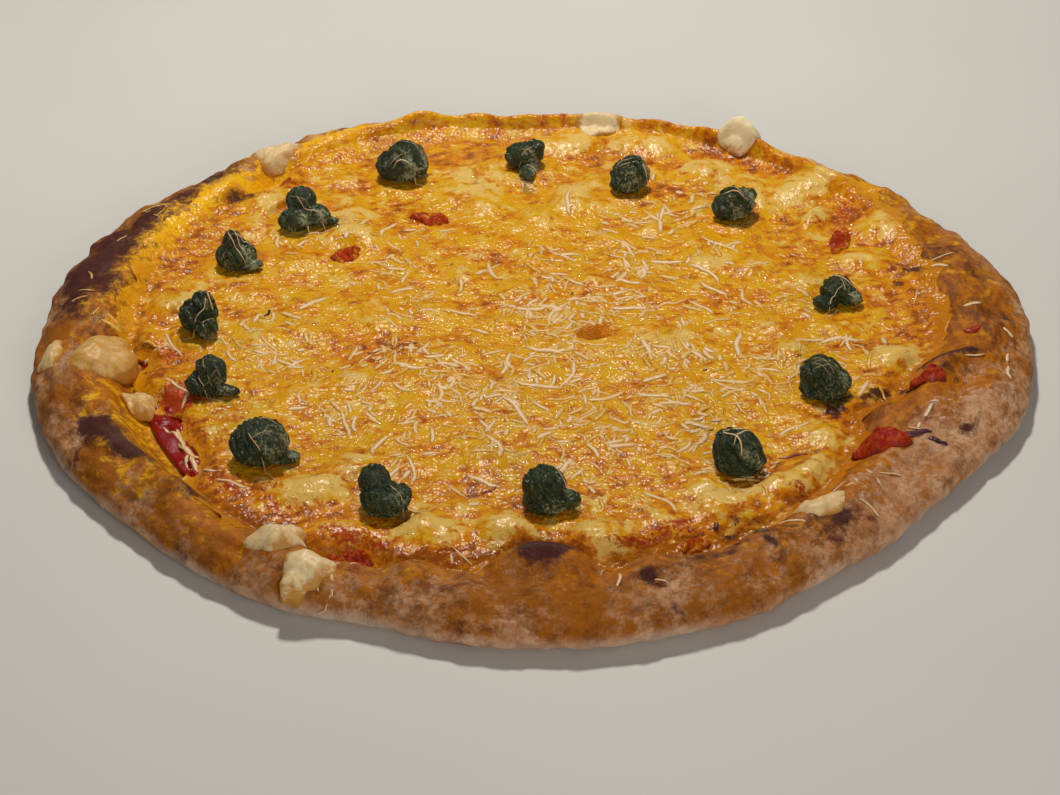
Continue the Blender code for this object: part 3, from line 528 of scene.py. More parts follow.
def sheet_faces(cells):
    """Quads of a square grid, facing up, and its border points in order, anticlockwise."""
    index = np.arange((cells + 1) ** 2).reshape(cells + 1, cells + 1)
    quads = np.stack([index[:-1, :-1], index[:-1, 1:], index[1:, 1:], index[1:, :-1]], axis=2)
    border = np.concatenate([index[0, :-1], index[:-1, -1], index[-1, :0:-1], index[:0:-1, 0]])
    return quads.reshape(-1, 4), border


def close_below(points, quads, border, *rings):
    """Adds rings of points under the border, the last a single point, and their faces."""
    faces = quads.tolist()
    upper = border
    turn = np.arange(len(border))
    for ring in rings[:-1]:
        lower = len(points) + turn
        points = np.concatenate([points, ring])
        sides = np.stack([upper, lower, np.roll(lower, -1), np.roll(upper, -1)], axis=1)
        faces += sides.tolist()
        upper = lower
    points = np.concatenate([points, [rings[-1]]])
    tip = np.full(len(border), len(points) - 1)
    faces += np.stack([upper, tip, np.roll(upper, -1)], axis=1).tolist()
    return points, faces


sauce_skin, tree, shader = food_material("tomato sauce")
pulp = noise(tree, 5 * MM, 4.0, 0.6)
colour = blend(tree, ramp(tree, pulp, 0.42, 0.66), SAUCE_RED, SAUCE_PULP)
squeezed = join(tree, "Mapping", {"Vector": here(tree), "Scale": (1.0, 0.45, 1.0)}).outputs[0]
film = ramp(tree, noise(tree, 6 * MM, 4.0, 0.7, squeezed), 0.58, 0.7, 0.0, 0.55)
colour = blend(tree, film, colour, SAUCE_FILM)
coat(tree, shader, colour, 0.13, 0.3, glow=0.1, reach=(1.0, 0.25, 0.1))
bumped(tree, shader, (pulp, 1.0 * MM), (noise(tree, 1.2 * MM, 2.0, 0.6), 0.5 * MM))


def sauce_height(x, y):
    """Top of the sauce: level but for the soft lumps of the pulp."""
    return SAUCE_TOP + 0.4 * MM * ripples(x, y, 6 * MM, 51) + 0.8 * MM * grains(x, y, 3.6 * MM, 52)


share, azimuth = disc_grid(SAUCE_CELLS)
x, y = plan(share * (around(azimuth, FOOT_RADIUS) - SAUCE_CLEAR_OF_FOOT), azimuth)
z = SAUCE_TOP + (sauce_height(x, y) - SAUCE_TOP) * np.clip((1.0 - share) / 0.02, 0.0, 1.0)
points = np.stack([x, y, z], axis=2).reshape(-1, 3)
quads, border = sheet_faces(SAUCE_CELLS)
skirt = points[border] * (1, 1, 0) + (0, 0, SAUCE_BOTTOM)
points, faces = close_below(points, quads, border, skirt, (0.0, 0.0, SAUCE_BOTTOM))
sauce = add_piece("tomato_sauce", points, faces, sauce_skin)
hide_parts("sauce")
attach(sauce, "root")

# ---------------------------------------------------------------- the melted provolone
# Provolone, grated and cut in cubes, melted into one layer. It is thick and plump near
# the rim, where cubes still stand, and thin, grainy and toasted in the middle, where the
# fat has come out and the grains glisten.

CHEESE_UNDERSIDE = SAUCE_TOP + GAP
CHEESE_THICKNESS = 3.6 * MM
CHEESE_THINNEST = 1.2 * MM
CHEESE_EDGE_ROLL = 7 * MM
CHEESE_LAP_GAP = 0.7 * MM
FILM_THICKNESS = 0.2 * MM
FILM_SEAT = 3 * MM
CREEP_WIDTH = 6 * MM
CHEESE_CELLS = 300
CHEESE_DEPTH = 1.4 * MM  # from the top of its edge down to its underside there
RINGS_BELOW = (0.98, 0.96, 0.94, 0.92, 0.9)
INNER_RING = 0.87
# How far the cheese laps onto the foot of the rim, or stops short of it, as (degrees, mm)
CHEESE_LAP = (
    (0, 5), (60, 7), (110, 6), (126, 4), (132, -5), (139, 4), (160, 6), (177, 4),
    (185, -6), (191, -2), (199, -12), (211, -11), (219, 1), (228, 3), (238, 0),
    (246, -10), (253, 0), (263, 3), (273, 1), (283, -2), (290, -6), (300, -4),
    (309, 3), (340, 3),
)
# How far a thin toasted film of cheese runs on up the rim, as (degrees, mm)
FILM_REACH = (
    (0, 9), (20, 9), (40, 7), (60, 6), (75, 5), (95, 4), (112, 6), (128, 9), (146, 10),
    (160, 9), (177, 7), (186, 5), (199, 5), (211, 5), (222, 8), (238, 8), (246, 8), (258, 7),
    (272, 8), (284, 10), (300, 10), (315, 9), (330, 9), (345, 9),
)
# How much higher the cheese has crept up the low wall of the rim, as (degrees, mm)
CREEP = (
    (0, 0.8), (30, 1.2), (60, 1.8), (80, 2.2), (120, 2.4), (140, 1.6), (160, 0.8), (185, 0),
    (260, 0), (330, 0.3),
)
# Cubes that still stand: x, y, half length, half width in mm, turn, height in mm
CUBES = (
    (105, 105, 15, 10, 20, 4.0), (106, 83, 10, 5, 58, 3.6), (132, 76, 11, 9, 30, 3.6),
    (121, 52, 11, 8, 0, 3.0), (128, -12, 14, 7, 8, 2.6), (97, -79, 11, 8, 20, 3.6),
    (84, -89, 10, 8, 15, 3.4), (62, -101, 11, 8, 30, 2.8), (21, -117, 12, 8, 8, 3.6),
    (-8, -113, 12, 9, 0, 3.8), (-32, -117, 12, 8, -20, 3.2), (-72, -94, 12, 9, 20, 2.8),
    (-18, 96, 13, 8, 80, 2.4), (14, 97, 12, 8, 70, 2.4), (14, 139, 14, 9, 10, 3.2),
    (45, 138, 14, 8, -5, 2.8), (70, 120, 12, 8, -20, 2.6), (-70, 72, 13, 8, -10, 2.4),
    (-128, 22, 10, 8, 30, 2.4), (-100, 92, 10, 8, 10, 2.4),
)
SCATTERED_CUBES = 110
SCATTER_REACH = 138
# Each dollop, in mm: x, y, and its lobes as x, y and height of the middle, and half sizes
DOLLOPS = (
    (-49.5, 115, ((0, 0, 6, 9, 8, 7), (1, 1, 10.5, 5.5, 5, 4.5), (-6, -1, 5, 4, 4.5, 4.5))),
    (-86, 80, ((-1, 3, 8, 5.3, 5.3, 5.5), (-3, -4, 4, 6, 5, 4.5), (5, -1, 4, 5, 4.5, 4),
               (8, -1, 1.6, 5, 2.2, 1.8))),
    (-109, 50, ((0, 0, 4, 7, 6.5, 5.5), (-1, 0.5, 8.5, 3.5, 3.5, 5.8), (5, -3, 2, 5, 3, 2))),
    (-118, 5.5, ((-1, 1, 6, 6.5, 6, 6.5), (0.5, 1.5, 10.5, 4, 4, 5), (2, -4, 4, 3.8, 4, 4))),
    (-112, -32, ((0.5, 1, 6.5, 5.5, 5.5, 6.3), (-2, -2, 3.5, 6, 5, 4), (5, -4, 2, 6, 2.6, 2))),
    (-91.5, -74, ((0, 0, 6.5, 9.5, 8.5, 7.5), (0.5, 1, 9.5, 6.5, 6, 5), (8, -2, 2.2, 6, 3, 2.4))),
    (-49, -102, ((-3, 3, 9, 5, 5, 6), (0.5, -2, 5, 7.8, 6.5, 5.5), (6, 0, 6.5, 3, 3, 3))),
    (5, -100.5, ((-1.5, 1, 8, 6.8, 6.5, 6.8), (-1, -2, 3.5, 7, 6, 4), (6, -2, 4, 4, 3.5, 3.5))),
    (68, -78.5, ((0, 0, 7, 7.8, 7.2, 7.2), (1, -2, 3.5, 8, 6.5, 4), (-3, 1, 9.5, 4, 4, 4))),
    (100, -33.5, ((-1, 0, 7, 7, 6.8, 7), (5, -1, 5, 4, 4, 4), (0, -2, 3, 7.5, 6.5, 3.5))),
    (109.5, 23.5, ((0, 1.5, 5.5, 5.5, 5, 5.2), (-4, -3, 2.8, 4.5, 3.5, 2.8),
                   (4.5, -1, 3.5, 4.5, 3.5, 3))),
    (76, 85, ((0, 0, 6, 7.2, 6.5, 6.3), (4.5, 2.5, 7.5, 3, 2.8, 3), (-3, -1, 4, 5, 5, 4))),
    (37, 106, ((0, 0, 6, 7, 6, 6.5), (1, 1, 9.5, 4, 3.5, 3.5), (-2, -2, 3.5, 5.5, 5, 3.5))),
    (-3.5, 121, ((0, 2, 5, 7, 5, 5.5), (4, 4, 7, 3.5, 3, 4), (1.5, -4, 2, 3.5, 7, 2.2))),
)
SEAT_MARGIN = 2 * MM

# Toasted, creamy and reddened places: x, y, half length, half width in mm, turn, how much
TOASTED = (
    (-52, -5, 24, 9, 2, 1.4), (-85, 120, 22, 13, 20, 0.25), (-50, 84, 14, 9, 0, 0.5),
    (-10, 140, 16, 6, 0, 0.5), (-30, 128, 12, 8, 0, 0.5), (30, 128, 14, 7, 0, 0.5),
    (52, 103, 10, 9, 30, 0.6), (70, 130, 14, 8, -20, 0.5), (-10, 55, 30, 10, 4, 0.4),
    (24, 35, 34, 10, -3, 0.6), (70, 24, 26, 12, 8, 0.55), (-14, 24, 26, 9, 3, 0.5),
    (22, 5, 14, 8, 0, 0.6), (-30, -22, 30, 9, 0, 0.4), (40, -32, 26, 8, 8, 0.45),
    (80, -2, 15, 8, 10, 0.5), (-15, -50, 24, 8, -4, 0.35), (20, -72, 20, 8, 0, 0.35),
    (115, 84, 9, 14, 20, 0.7), (-132, 60, 10, 20, -20, 0.2), (-128, -12, 9, 12, 0, 0.5),
    (-58, -84, 12, 7, 10, 0.45), (-17, -93, 7, 4, 20, 1.0), (78, -84, 9, 5, 30, 0.9),
    (-40, -128, 16, 6, -6, 0.7), (8, -122, 10, 4, 0, 0.6), (118, -4, 10, 12, 60, 0.6),
    (92, 56, 14, 10, 10, 0.3), (-92, 28, 12, 14, 30, 0.35), (-82, -48, 12, 8, 0, 0.2),
)
CREAMY = (
    (-78, 82, 20, 10, 10, 0.7), (-22, 112, 14, 14, 0, 0.8), (12, 108, 10, 16, 0, 0.6),
    (-75, 40, 18, 9, 10, 0.5), (66, 52, 9, 8, 0, 0.8), (52, 0, 20, 9, 4, 0.6),
    (-58, -42, 20, 8, 6, 0.45), (95, 92, 12, 12, 30, 0.6), (20, 70, 18, 8, 0, 0.35),
    (-30, 60, 14, 6, 0, 0.35), (-118, 30, 12, 10, 40, 0.6), (24, -98, 20, 8, 8, 0.5),
    (62, -96, 14, 7, 24, 0.5), (128, -10, 16, 6, 8, 0.8), (112, 34, 14, 10, 20, 0.4),
    (-105, -50, 10, 10, 0, 0.4), (-75, -94, 14, 8, 20, 0.5), (0, -30, 24, 7, 0, 0.3),
    (-100, 70, 14, 9, 20, 0.4), (35, 95, 12, 8, 0, 0.3), (90, -58, 14, 10, 30, 0.25),
)
REDDENED = (
    (-70, 57, 8, 6, 35, 0.7), (-39, 84, 13, 6, -12, 0.8), (-52, 80, 8, 5, 0, 0.5),
    (-90, 54, 9, 4, 10, 0.55), (-95, 108, 10, 6, 20, 0.6), (22, 4, 10, 6, 8, 0.7),
    (27, 58, 5, 3, 0, 0.6), (-42, 7, 4, 3, 0, 0.6), (3, 40, 4, 2.5, 0, 0.5),
    (114, 68, 5, 10, -15, 0.9), (117, 88, 7, 12, 10, 0.7), (56, 98, 5, 6, 20, 0.4),
    (-78, 10, 9, 3, 0, 0.5), (-100, 16, 5, 3, 0, 0.6), (-8, -34, 4, 3, 0, 0.4),
    (36, -42, 4, 4, 0, 0.4), (-25, -40, 6, 3, 0, 0.4), (-128, -8, 5, 8, 20, 0.8),
    (-118, -52, 6, 12, 20, 0.5), (-121, -36, 9, 8, 20, 1.6), (-68, -72, 6, 3, 0, 0.4),
    (46, -112, 12, 4, 16, 0.8),
    (-50, -122, 14, 4, -4, 0.5), (88, -92, 4, 2.5, 0, 0.9), (-101, -88, 12, 4, -42, 0.9),
    (-84, -101, 9, 3.5, -24, 0.8), (-62, -116, 12, 5, -8, 0.9), (-28, -124, 8, 2.5, 0, 0.5),
    (33, -120, 12, 3.5, 8, 0.8), (-125, -30, 5, 8, 10, 0.6), (66, -104, 8, 3, 30, 0.5),
    (106, 78, 6, 4, 0, 0.5),
)
# Where green oil has run from the dollops onto the cheese
GREENED = (
    (-2, 108, 3.5, 9, 0, 1.0), (-40, 108, 7, 3, -20, 0.6), (-78, 76, 7, 3, -10, 0.6),
    (-103, 44, 4, 6, 20, 0.6), (-111, -2, 4, 4, 0, 0.6), (-106, -40, 5, 4, -30, 0.7),
    (-82, -80, 8, 4, 0, 0.7), (-43, -108, 6, 5, 0, 0.7), (14, -103, 6, 4, 0, 0.8),
    (70, -88, 9, 4, 0, 0.6), (104, -41, 8, 4, 10, 0.7), (104, 18, 8, 4, 0, 0.7),
    (80, 79, 7, 4, 20, 0.6), (38, 98, 5, 5, 0, 0.7),
)

GOLDEN = (0.70, 0.31, 0.002, 1)
LEMON = (0.72, 0.385, 0.005, 1)
ORANGE = (0.63, 0.20, 0.002, 1)
TOAST = (0.34, 0.08, 0.003, 1)
CREAM = (0.77, 0.52, 0.14, 1)
PINK_CREAM = (0.76, 0.44, 0.12, 1)
TOMATO_TINT = (0.42, 0.04, 0.010, 1)
HERB_TINT = (0.26, 0.25, 0.05, 1)


def scattered_cubes():
    """Small melted cubes over the whole layer, spread like sunflower seeds."""
    draw = np.random.RandomState(11)
    cubes = []
    for i in range(SCATTERED_CUBES):
        out = math.sqrt((i + 0.5) / SCATTERED_CUBES)
        angle = i * math.pi * (3.0 - math.sqrt(5.0)) + draw.uniform(-0.25, 0.25)
        size = draw.uniform(6.5, 9.5) + 2.0 * out**3
        height = draw.uniform(0.5, 1.5) + 0.9 * out**4
        middle = (SCATTER_REACH * out * math.cos(angle), SCATTER_REACH * out * math.sin(angle))
        width, turn = size * draw.uniform(0.6, 1.0), draw.uniform(0.0, 180.0)
        cubes.append((*middle, size, width, turn, height))
    return cubes


def cheese_edge(azimuth):
    """How far out the cheese lies thick, past which it is a film."""
    return around(azimuth, FOOT_RADIUS) + around(azimuth, CHEESE_LAP)


def inside_film(x, y):
    """How wide the film is there, and how far the place lies in from its end."""
    azimuth = np.arctan2(y, x)
    film = around(azimuth, FILM_REACH)
    return film, cheese_edge(azimuth) + film - np.hypot(x, y)


def dollop_reach(lobes):
    """How far a dollop spreads from its middle, in mm, by the mean half size of its lobes."""
    return max(math.hypot(dx, dy) + (a + b) / 2 for dx, dy, _, a, b, _ in lobes)


def cheese_relief(x, y):
    """The cubes, standing and scattered, and a long swell, level under the dollops."""
    relief = mounds(x, y, CUBES, 1.35) + mounds(x, y, scattered_cubes(), 1.2)
    relief += 0.35 * MM * ripples(x, y, 55 * MM, 17)
    for across, back, lobes in DOLLOPS:
        reach = dollop_reach(lobes) * MM + 2 * SEAT_MARGIN
        off = np.hypot(x - across * MM, y - back * MM)
        share = eased(np.clip((reach - off) / SEAT_MARGIN, 0.0, 1.0))
        relief = relief * (1.0 - share) + 0.6 * MM * share
    return relief


def grainy(x, y):
    """Height of the small melted curds: two beds of round grains and a fine ripple."""
    bed = 0.5 * MM * grains(x, y, 5.2 * MM, 61) + 0.24 * MM * grains(x, y, 2.4 * MM, 62)
    return bed + 0.08 * MM * ripples(x, y, 3.2 * MM, 63) - 0.4 * MM


def cheese_top(x, y):
    """Top of the cheese: its underside, its thickness, which eases to nothing at the end
    of the film, and its grain."""
    base = np.maximum(dough_height(x, y), SAUCE_TOP)
    under = np.maximum(CHEESE_UNDERSIDE, base + CHEESE_LAP_GAP)
    full = np.maximum(CHEESE_THICKNESS + cheese_relief(x, y), CHEESE_THINNEST)
    film, inside = inside_film(x, y)
    rolled = 1.0 - (1.0 - np.clip(inside / (CHEESE_EDGE_ROLL + film), 0.0, 1.0)) ** 2
    top = under + CHEESE_THINNEST + (full - CHEESE_THINNEST) * rolled
    seated = eased(np.clip(inside / (film + FILM_SEAT), 0.0, 1.0))
    grain = grainy(x, y) * (0.35 + 0.65 * rolled) * (seated > 0.0)
    off_wall = (inside - film - FILM_SEAT) / CREEP_WIDTH
    crept = around(np.arctan2(y, x), CREEP) * np.exp(-(off_wall**2))
    return base + FILM_THICKNESS + (top - base - FILM_THICKNESS) * seated + crept * seated + grain


def provolone_material(name):
    """The finish of the melted cheese, without its bumps: a yellow ground that is clouded
    orange and brown from toasting, cream-coloured where it is plump, and stained red and green
    in places. The orange and the cream also paint light and shade: cream on the standing cubes'
    tops, orange in the low places between them, darker to the front, paler at the back of the rim."""
    material, tree, shader = food_material(name)
    broad = noise(tree, 8 * MM, 5.0, 0.7)
    curd = noise(tree, 4.4 * MM, 4.0, 0.66)
    dot = noise(tree, 1.4 * MM, 3.0, 0.65)
    colour = blend(tree, ramp(tree, broad, 0.40, 0.60), LEMON, GOLDEN)
    # This toasting share also holds painted shade between the cubes and to the front, and painted
    # light at the back of the rim
    orange = frayed(tree, "toasted_and_painted_light", curd, 0.34, 0.66, -0.42, 0.42)
    colour = blend(tree, ramp(tree, orange, 0.05, 0.65), colour, ORANGE)
    colour = blend(tree, ramp(tree, orange, 0.7, 1.3), colour, TOAST)
    # The cream share also holds painted light on the tops of the plump cubes
    cream = frayed(tree, "creamy_and_painted_light", curd, 0.3, 0.7, 0.45, -0.45)
    colour = blend(tree, ramp(tree, cream, 0.35, 0.95, 0.0, 0.9), colour, CREAM)
    pale = ramp(tree, sums(tree, "ADD", dot, ramp(tree, broad, 0.3, 0.7, 0.05, -0.05)), 0.54, 0.66)
    colour = blend(tree, sums(tree, "MULTIPLY", pale, 0.3), colour, PINK_CREAM)
    film = frayed(tree, "thin", curd, 0.3, 0.7, -0.3, 0.3)
    # The film takes the oil's colour, golden at the back of the rim partly as painted light
    oil = blend(tree, share_of(tree, "gilded"), OILED_DOUGH, GILDED_AND_LIT_DOUGH)
    colour = blend(tree, ramp(tree, film, 0.2, 0.8), colour, oil)
    red = frayed(tree, "reddened", dot, 0.3, 0.7, 0.4, -0.45)
    colour = blend(tree, ramp(tree, red, 0.4, 0.8, 0.0, 0.9), colour, TOMATO_TINT)
    burnt = frayed(tree, "scorched", curd, 0.3, 0.7, -0.5, 0.4)
    colour = blend(tree, ramp(tree, burnt, 0.1, 0.9, 0.0, 0.9), colour, SCORCHED_DOUGH)
    green = frayed(tree, "greened", dot, 0.3, 0.7, 0.3, -0.3)
    colour = blend(tree, ramp(tree, green, 0.3, 1.0, 0.0, 0.8), colour, HERB_TINT)
    coat(tree, shader, colour, 0.2, 0.2, glow=0.3, reach=(1.0, 0.5, 0.1))
    return material, tree, shader


def cheese_shares(x, y):
    """How much toasting, cream, plumpness, thinness, red and green the cheese has at each place.
    It is brown from toasting in its named places, near its edge, low between the cubes and to the
    front, and cream-coloured in its named places and on the plump cubes. On and between the cubes
    this is partly painted light and shade for their low relief, to the front partly painted shade
    where the light falls off, and the dough's paler patches at the back of the rim paint light on
    it."""
    film, inside = inside_film(x, y)
    near_edge = np.clip(1.0 - inside / (film + 8 * MM), 0.0, 1.0)
    plump = np.clip(cheese_relief(x, y) / (3 * MM), 0.0, 1.0)
    # Low between the cubes: orange partly from toasting, partly painted shade for their low relief
    between_cubes = np.clip(np.hypot(x, y) / (50 * MM) - 1.9, 0.0, 1.0) * (1.0 - plump)
    # To the front: darker partly from toasting, partly painted shade where the light falls off
    front_toast_and_shade = np.clip((-y - 40 * MM) / (50 * MM), 0.0, 1.0)
    toasted_and_painted_light = patches(x, y, TOASTED) + 0.2 * ripples(x, y, 17 * MM, 66) + 0.55 * between_cubes
    toasted_and_painted_light += 0.04 + 0.22 * ripples(x, y * 1.6, 8 * MM, 67) + 0.6 * near_edge - 0.6 * plump
    # Front darkening, partly painted shade; the dough's paler patches at the back of the rim paint
    # light
    toasted_and_painted_light += 0.4 * front_toast_and_shade + 0.8 * patches(x, y, DARKENED_AND_LIT)
    toasted_and_painted_light += 0.45 * near_edge * ripples(x, y, 5 * MM, 60)
    return {
        "toasted_and_painted_light": toasted_and_painted_light,
        # Cream on the plump cubes: partly their own, partly painted light on their tops
        "creamy_and_painted_light": patches(x, y, CREAMY) + 0.2 * ripples(x, y, 13 * MM, 68) + 0.85 * plump,
        "plump": plump,
        "thin": np.clip(1.15 - inside / (film + 2 * MM), 0.0, 1.0),
        "reddened": patches(x, y, REDDENED) + 0.06 * ripples(x, y, 9 * MM, 69),
        "greened": patches(x, y, GREENED),
        "gilded": share_around(np.arctan2(y, x), GILDING_AND_BACK_LIGHT),
        "scorched": np.minimum(1.3 * patches(x, y, SCORCHED), 1.3),
    }


cheese_skin, tree, shader = provolone_material("melted provolone")
cells = {"Vector": here(tree), "Scale": 1 / (1.5 * MM)}
bead = join(tree, "TexVoronoi", cells).outputs["Distance"]
bead = sums(tree, "MULTIPLY", bead, ramp(tree, share_of(tree, "plump"), 0.15, 0.6, 1.0, 0.15))
smooth = noise(tree, 2.0 * MM, 1.0, 0.4)
bumped(tree, shader, (smooth, 0.4 * MM), (bead, -0.25 * MM), (noise(tree, 1.2 * MM), 0.2 * MM))

share, azimuth = disc_grid(CHEESE_CELLS)
limit = cheese_edge(azimuth) + around(azimuth, FILM_REACH)
fringe_x, fringe_y = plan(limit, azimuth)
fringe = 1.5 * MM * ripples(fringe_x, fringe_y, 16 * MM, 64)
fringe += 0.35 * MM * ripples(fringe_x, fringe_y, 6 * MM, 65)
x, y = plan(share * limit + fringe * share**10, azimuth)
points = np.stack([x, y, cheese_top(x, y)], axis=2).reshape(-1, 3)
quads, border = sheet_faces(CHEESE_CELLS)
rim = points[border]
below = [rim - (0.0, 0.0, CHEESE_DEPTH)]
for inward in RINGS_BELOW:
    x_in, y_in = inward * rim[:, 0], inward * rim[:, 1]
    below.append(np.stack([x_in, y_in, cheese_top(x_in, y_in) - CHEESE_DEPTH], axis=1))
below.append(rim * (INNER_RING, INNER_RING, 0.0) + (0.0, 0.0, CHEESE_UNDERSIDE))
below.append((0.0, 0.0, CHEESE_UNDERSIDE))
points, faces = close_below(points, quads, border, *below)
cheese = add_piece("melted_provolone", points, faces, cheese_skin, **cheese_shares(x, y))
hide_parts("cheese")
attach(cheese, "root")


def pizza_top(x, y):
    """What a topping lies on: the cheese out to its edge, and past it sauce and dough."""
    within = np.hypot(x, y) < cheese_edge(np.arctan2(y, x))
    bare = np.maximum(dough_height(x, y), sauce_height(x, y))
    return np.where(within, cheese_top(x, y), bare)


# ---------------------------------------------------------------- beads of fat
# Fat that the oven drove out of the cheese. It stands in small flat beads all over the
# thin toasted part, clear, wet and of the cheese's own colour, and each one glints.

BEADS = 5200
BEAD_REACH = 150 * MM
BEAD_STEPS = 6
BEAD_FLATNESS = 0.36
BEAD_SUNK = 0.04 * MM
BEAD_RINGS = ((0.55, 0.75), (1.0, 0.0))  # reach and height, as shares of a bead's size

bead_skin, tree, shader = provolone_material("beads of fat")
wire(tree, shader, {"Roughness": 0.1, "Specular IOR Level": 1.0, "Subsurface Weight": 0.0})

draw = np.random.RandomState(91)
bearing, out = draw.uniform(0.0, 2.0 * math.pi, BEADS), np.sqrt(draw.uniform(0.0, 1.0, BEADS))
x, y = plan(out * np.minimum(BEAD_REACH, cheese_edge(bearing) - 2 * MM), bearing)
size = (0.3 + 0.45 * draw.uniform(0.0, 1.0, BEADS) ** 2) * MM
turn = 2.0 * math.pi * np.arange(BEAD_STEPS) / BEAD_STEPS
reach, height = np.array(BEAD_RINGS).T[:, None, :, None]
bead_x, bead_y = plan(reach * size[:, None, None], turn)
bead_x, bead_y = bead_x + x[:, None, None], bead_y + y[:, None, None]
up = height * BEAD_FLATNESS * size[:, None, None] - BEAD_SUNK
body = np.stack([bead_x, bead_y, cheese_top(bead_x, bead_y) + up], axis=3)
body = body.reshape(BEADS, -1, 3)
tops = np.stack([x, y, cheese_top(x, y) + BEAD_FLATNESS * size - BEAD_SUNK], axis=1)[:, None]
points = np.concatenate([body, tops], axis=1)
step, onward = np.arange(BEAD_STEPS), (np.arange(BEAD_STEPS) + 1) % BEAD_STEPS
start = (np.arange(BEADS) * points.shape[1])[:, None, None]
caps = np.stack([np.full(BEAD_STEPS, 2 * BEAD_STEPS), step, onward], axis=1)[None] + start
sides = np.stack([step, step + BEAD_STEPS, onward + BEAD_STEPS, onward], axis=1)[None] + start
base = (BEAD_STEPS + step[::-1])[None, None] + start
faces = caps.reshape(-1, 3).tolist() + sides.reshape(-1, 4).tolist() + base[:, 0].tolist()
points = points.reshape(-1, 3)
shares = cheese_shares(*points[:, :2].T)
beads = add_piece("beads_of_fat", points, faces, bead_skin, **shares)
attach(beads, "root")

# ---------------------------------------------------------------- the herb paste
# Fourteen spoonfuls of chopped green herbs in oil, one after another round the pizza.
# Each is a rough blob of two to four lobes, glossy, its dark green herb painted nearly black in
# its clefts as shade and olive on its bumps, partly herb and partly painted light, with threads
# and a film of melted cheese over it.

DOLLOP_MIDDLE = 3.6 * MM
LOBE_SHARPNESS = 9
DOLLOP_RINGS = 72
DOLLOP_STEPS = 128
DOLLOP_SUNK = 0.5 * MM
HERB_DARK_AND_SHADE = (0.005, 0.012, 0.003, 1)
HERB_GREEN = (0.020, 0.042, 0.006, 1)
HERB_OLIVE_AND_LIGHT = (0.11, 0.13, 0.018, 1)
HERB_FILM = (0.40, 0.42, 0.24, 1)


def lobe_reach(way, centre, halves):
    """How far a ray from the middle runs, this way, before it leaves an ellipsoid."""
    d = way / halves
    c = centre / halves
    dd = np.sum(d * d, axis=-1)
    dc = d @ c
    inside = dc * dc - dd * (c @ c - 1.0)
    reach = (dc + np.sqrt(np.maximum(inside, 0.0))) / dd
    return np.where((inside > 0.0) & (reach > 0.0), reach, 0.0)


def blob_skin(way, lobes):
    """Points on a blob, above its base: the lobes' reaches joined as a p-norm, so that
    their skins melt into one, and the base cut off level."""
    total = np.zeros(way.shape[:-1])
    for dx, dy, up, a, b, c in lobes:
        centre = np.array([dx * MM, dy * MM, up * MM - DOLLOP_MIDDLE])
        total += (lobe_reach(way, centre, np.array([a, b, c]) * MM) / MM) ** LOBE_SHARPNESS
    points = way * (total ** (1.0 / LOBE_SHARPNESS) * MM)[..., None]
    points[..., 2] = points[..., 2] + DOLLOP_MIDDLE
    return points


def ball_grid(rings, steps):
    """Unit directions, rings from top to bottom without the poles."""
    down = math.pi * (np.arange(rings) + 1.0)[:, None] / (rings + 1.0)
    turn = 2.0 * math.pi * np.arange(steps)[None, :] / steps
    flat = np.sin(down)
    return np.stack(
        [flat * np.cos(turn), flat * np.sin(turn), np.cos(down) + 0.0 * turn], axis=2
    )


herb_skin, tree, shader = food_material("herb paste")
leaf = noise(tree, 1.8 * MM, 5.0, 0.7)
# Darkest in the bump's hollows as painted shade, olive on its tops partly as painted light, on
# dark herb
colour = blend(tree, ramp(tree, leaf, 0.38, 0.56), HERB_DARK_AND_SHADE, HERB_GREEN)
colour = blend(tree, ramp(tree, leaf, 0.56, 0.72, 0.0, 0.85), colour, HERB_OLIVE_AND_LIGHT)
thread = noise(tree, 1.1 * MM, 4.0, 0.75)
film = frayed(tree, "filmed", thread, 0.3, 0.7, -0.6, 0.6)
colour = blend(tree, ramp(tree, film, 0.62, 1.3, 0.0, 0.7), colour, HERB_FILM)
coat(tree, shader, colour, 0.12, 0.6)
bumped(tree, shader, (leaf, 0.9 * MM), (noise(tree, 0.9 * MM, 2.0, 0.6), 0.4 * MM))

way = ball_grid(DOLLOP_RINGS, DOLLOP_STEPS)
for number, (across, back, lobes) in enumerate(DOLLOPS, 1):
    low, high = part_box(f"dollop_{number}")
    grid = blob_skin(way, lobes)
    x, y, z = np.moveaxis(grid, 2, 0)
    free = np.clip(z / (2 * MM), 0.0, 1.0)
    u, v = x + 0.7 * z + across * MM, y - 0.6 * z + back * MM
    folds = 1.0 - np.abs(ripples(u, v, 5.5 * MM, 110 + number))
    rough = 0.8 * MM * np.clip(folds, -0.6, 1.0) - 0.5 * MM
    rough += 1.1 * MM * (grains(u, v, 2.8 * MM, 70 + number) - 0.5)
    rough += 0.6 * MM * (grains(u, v, 1.4 * MM, 90 + number) - 0.5)
    grid = grid + way * (rough * free)[..., None]
    grid[..., 2] = np.maximum(grid[..., 2], -DOLLOP_SUNK)
    grid[..., 2] *= (high.z - low.z) / grid[..., 2].max()
    filmed = 0.62 * np.clip((x - y) / (9 * MM), -0.5, 1.0) + 0.26 * ripples(u, v, 7 * MM, number)
    filmed += 0.25 * np.clip(back / 110, 0.0, 1.0)
    top = np.array([0.0, 0.0, grid[0, :, 2].mean()])
    seat = np.array([across * MM, back * MM, low.z])
    points, faces = closed_rings(grid + seat, top + seat, seat - (0.0, 0.0, DOLLOP_SUNK))
    dollop = add_piece(f"herb_dollop_{number}", points, faces, herb_skin, filmed=filmed)
    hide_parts(f"dollop_{number}")
    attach(dollop, "root")

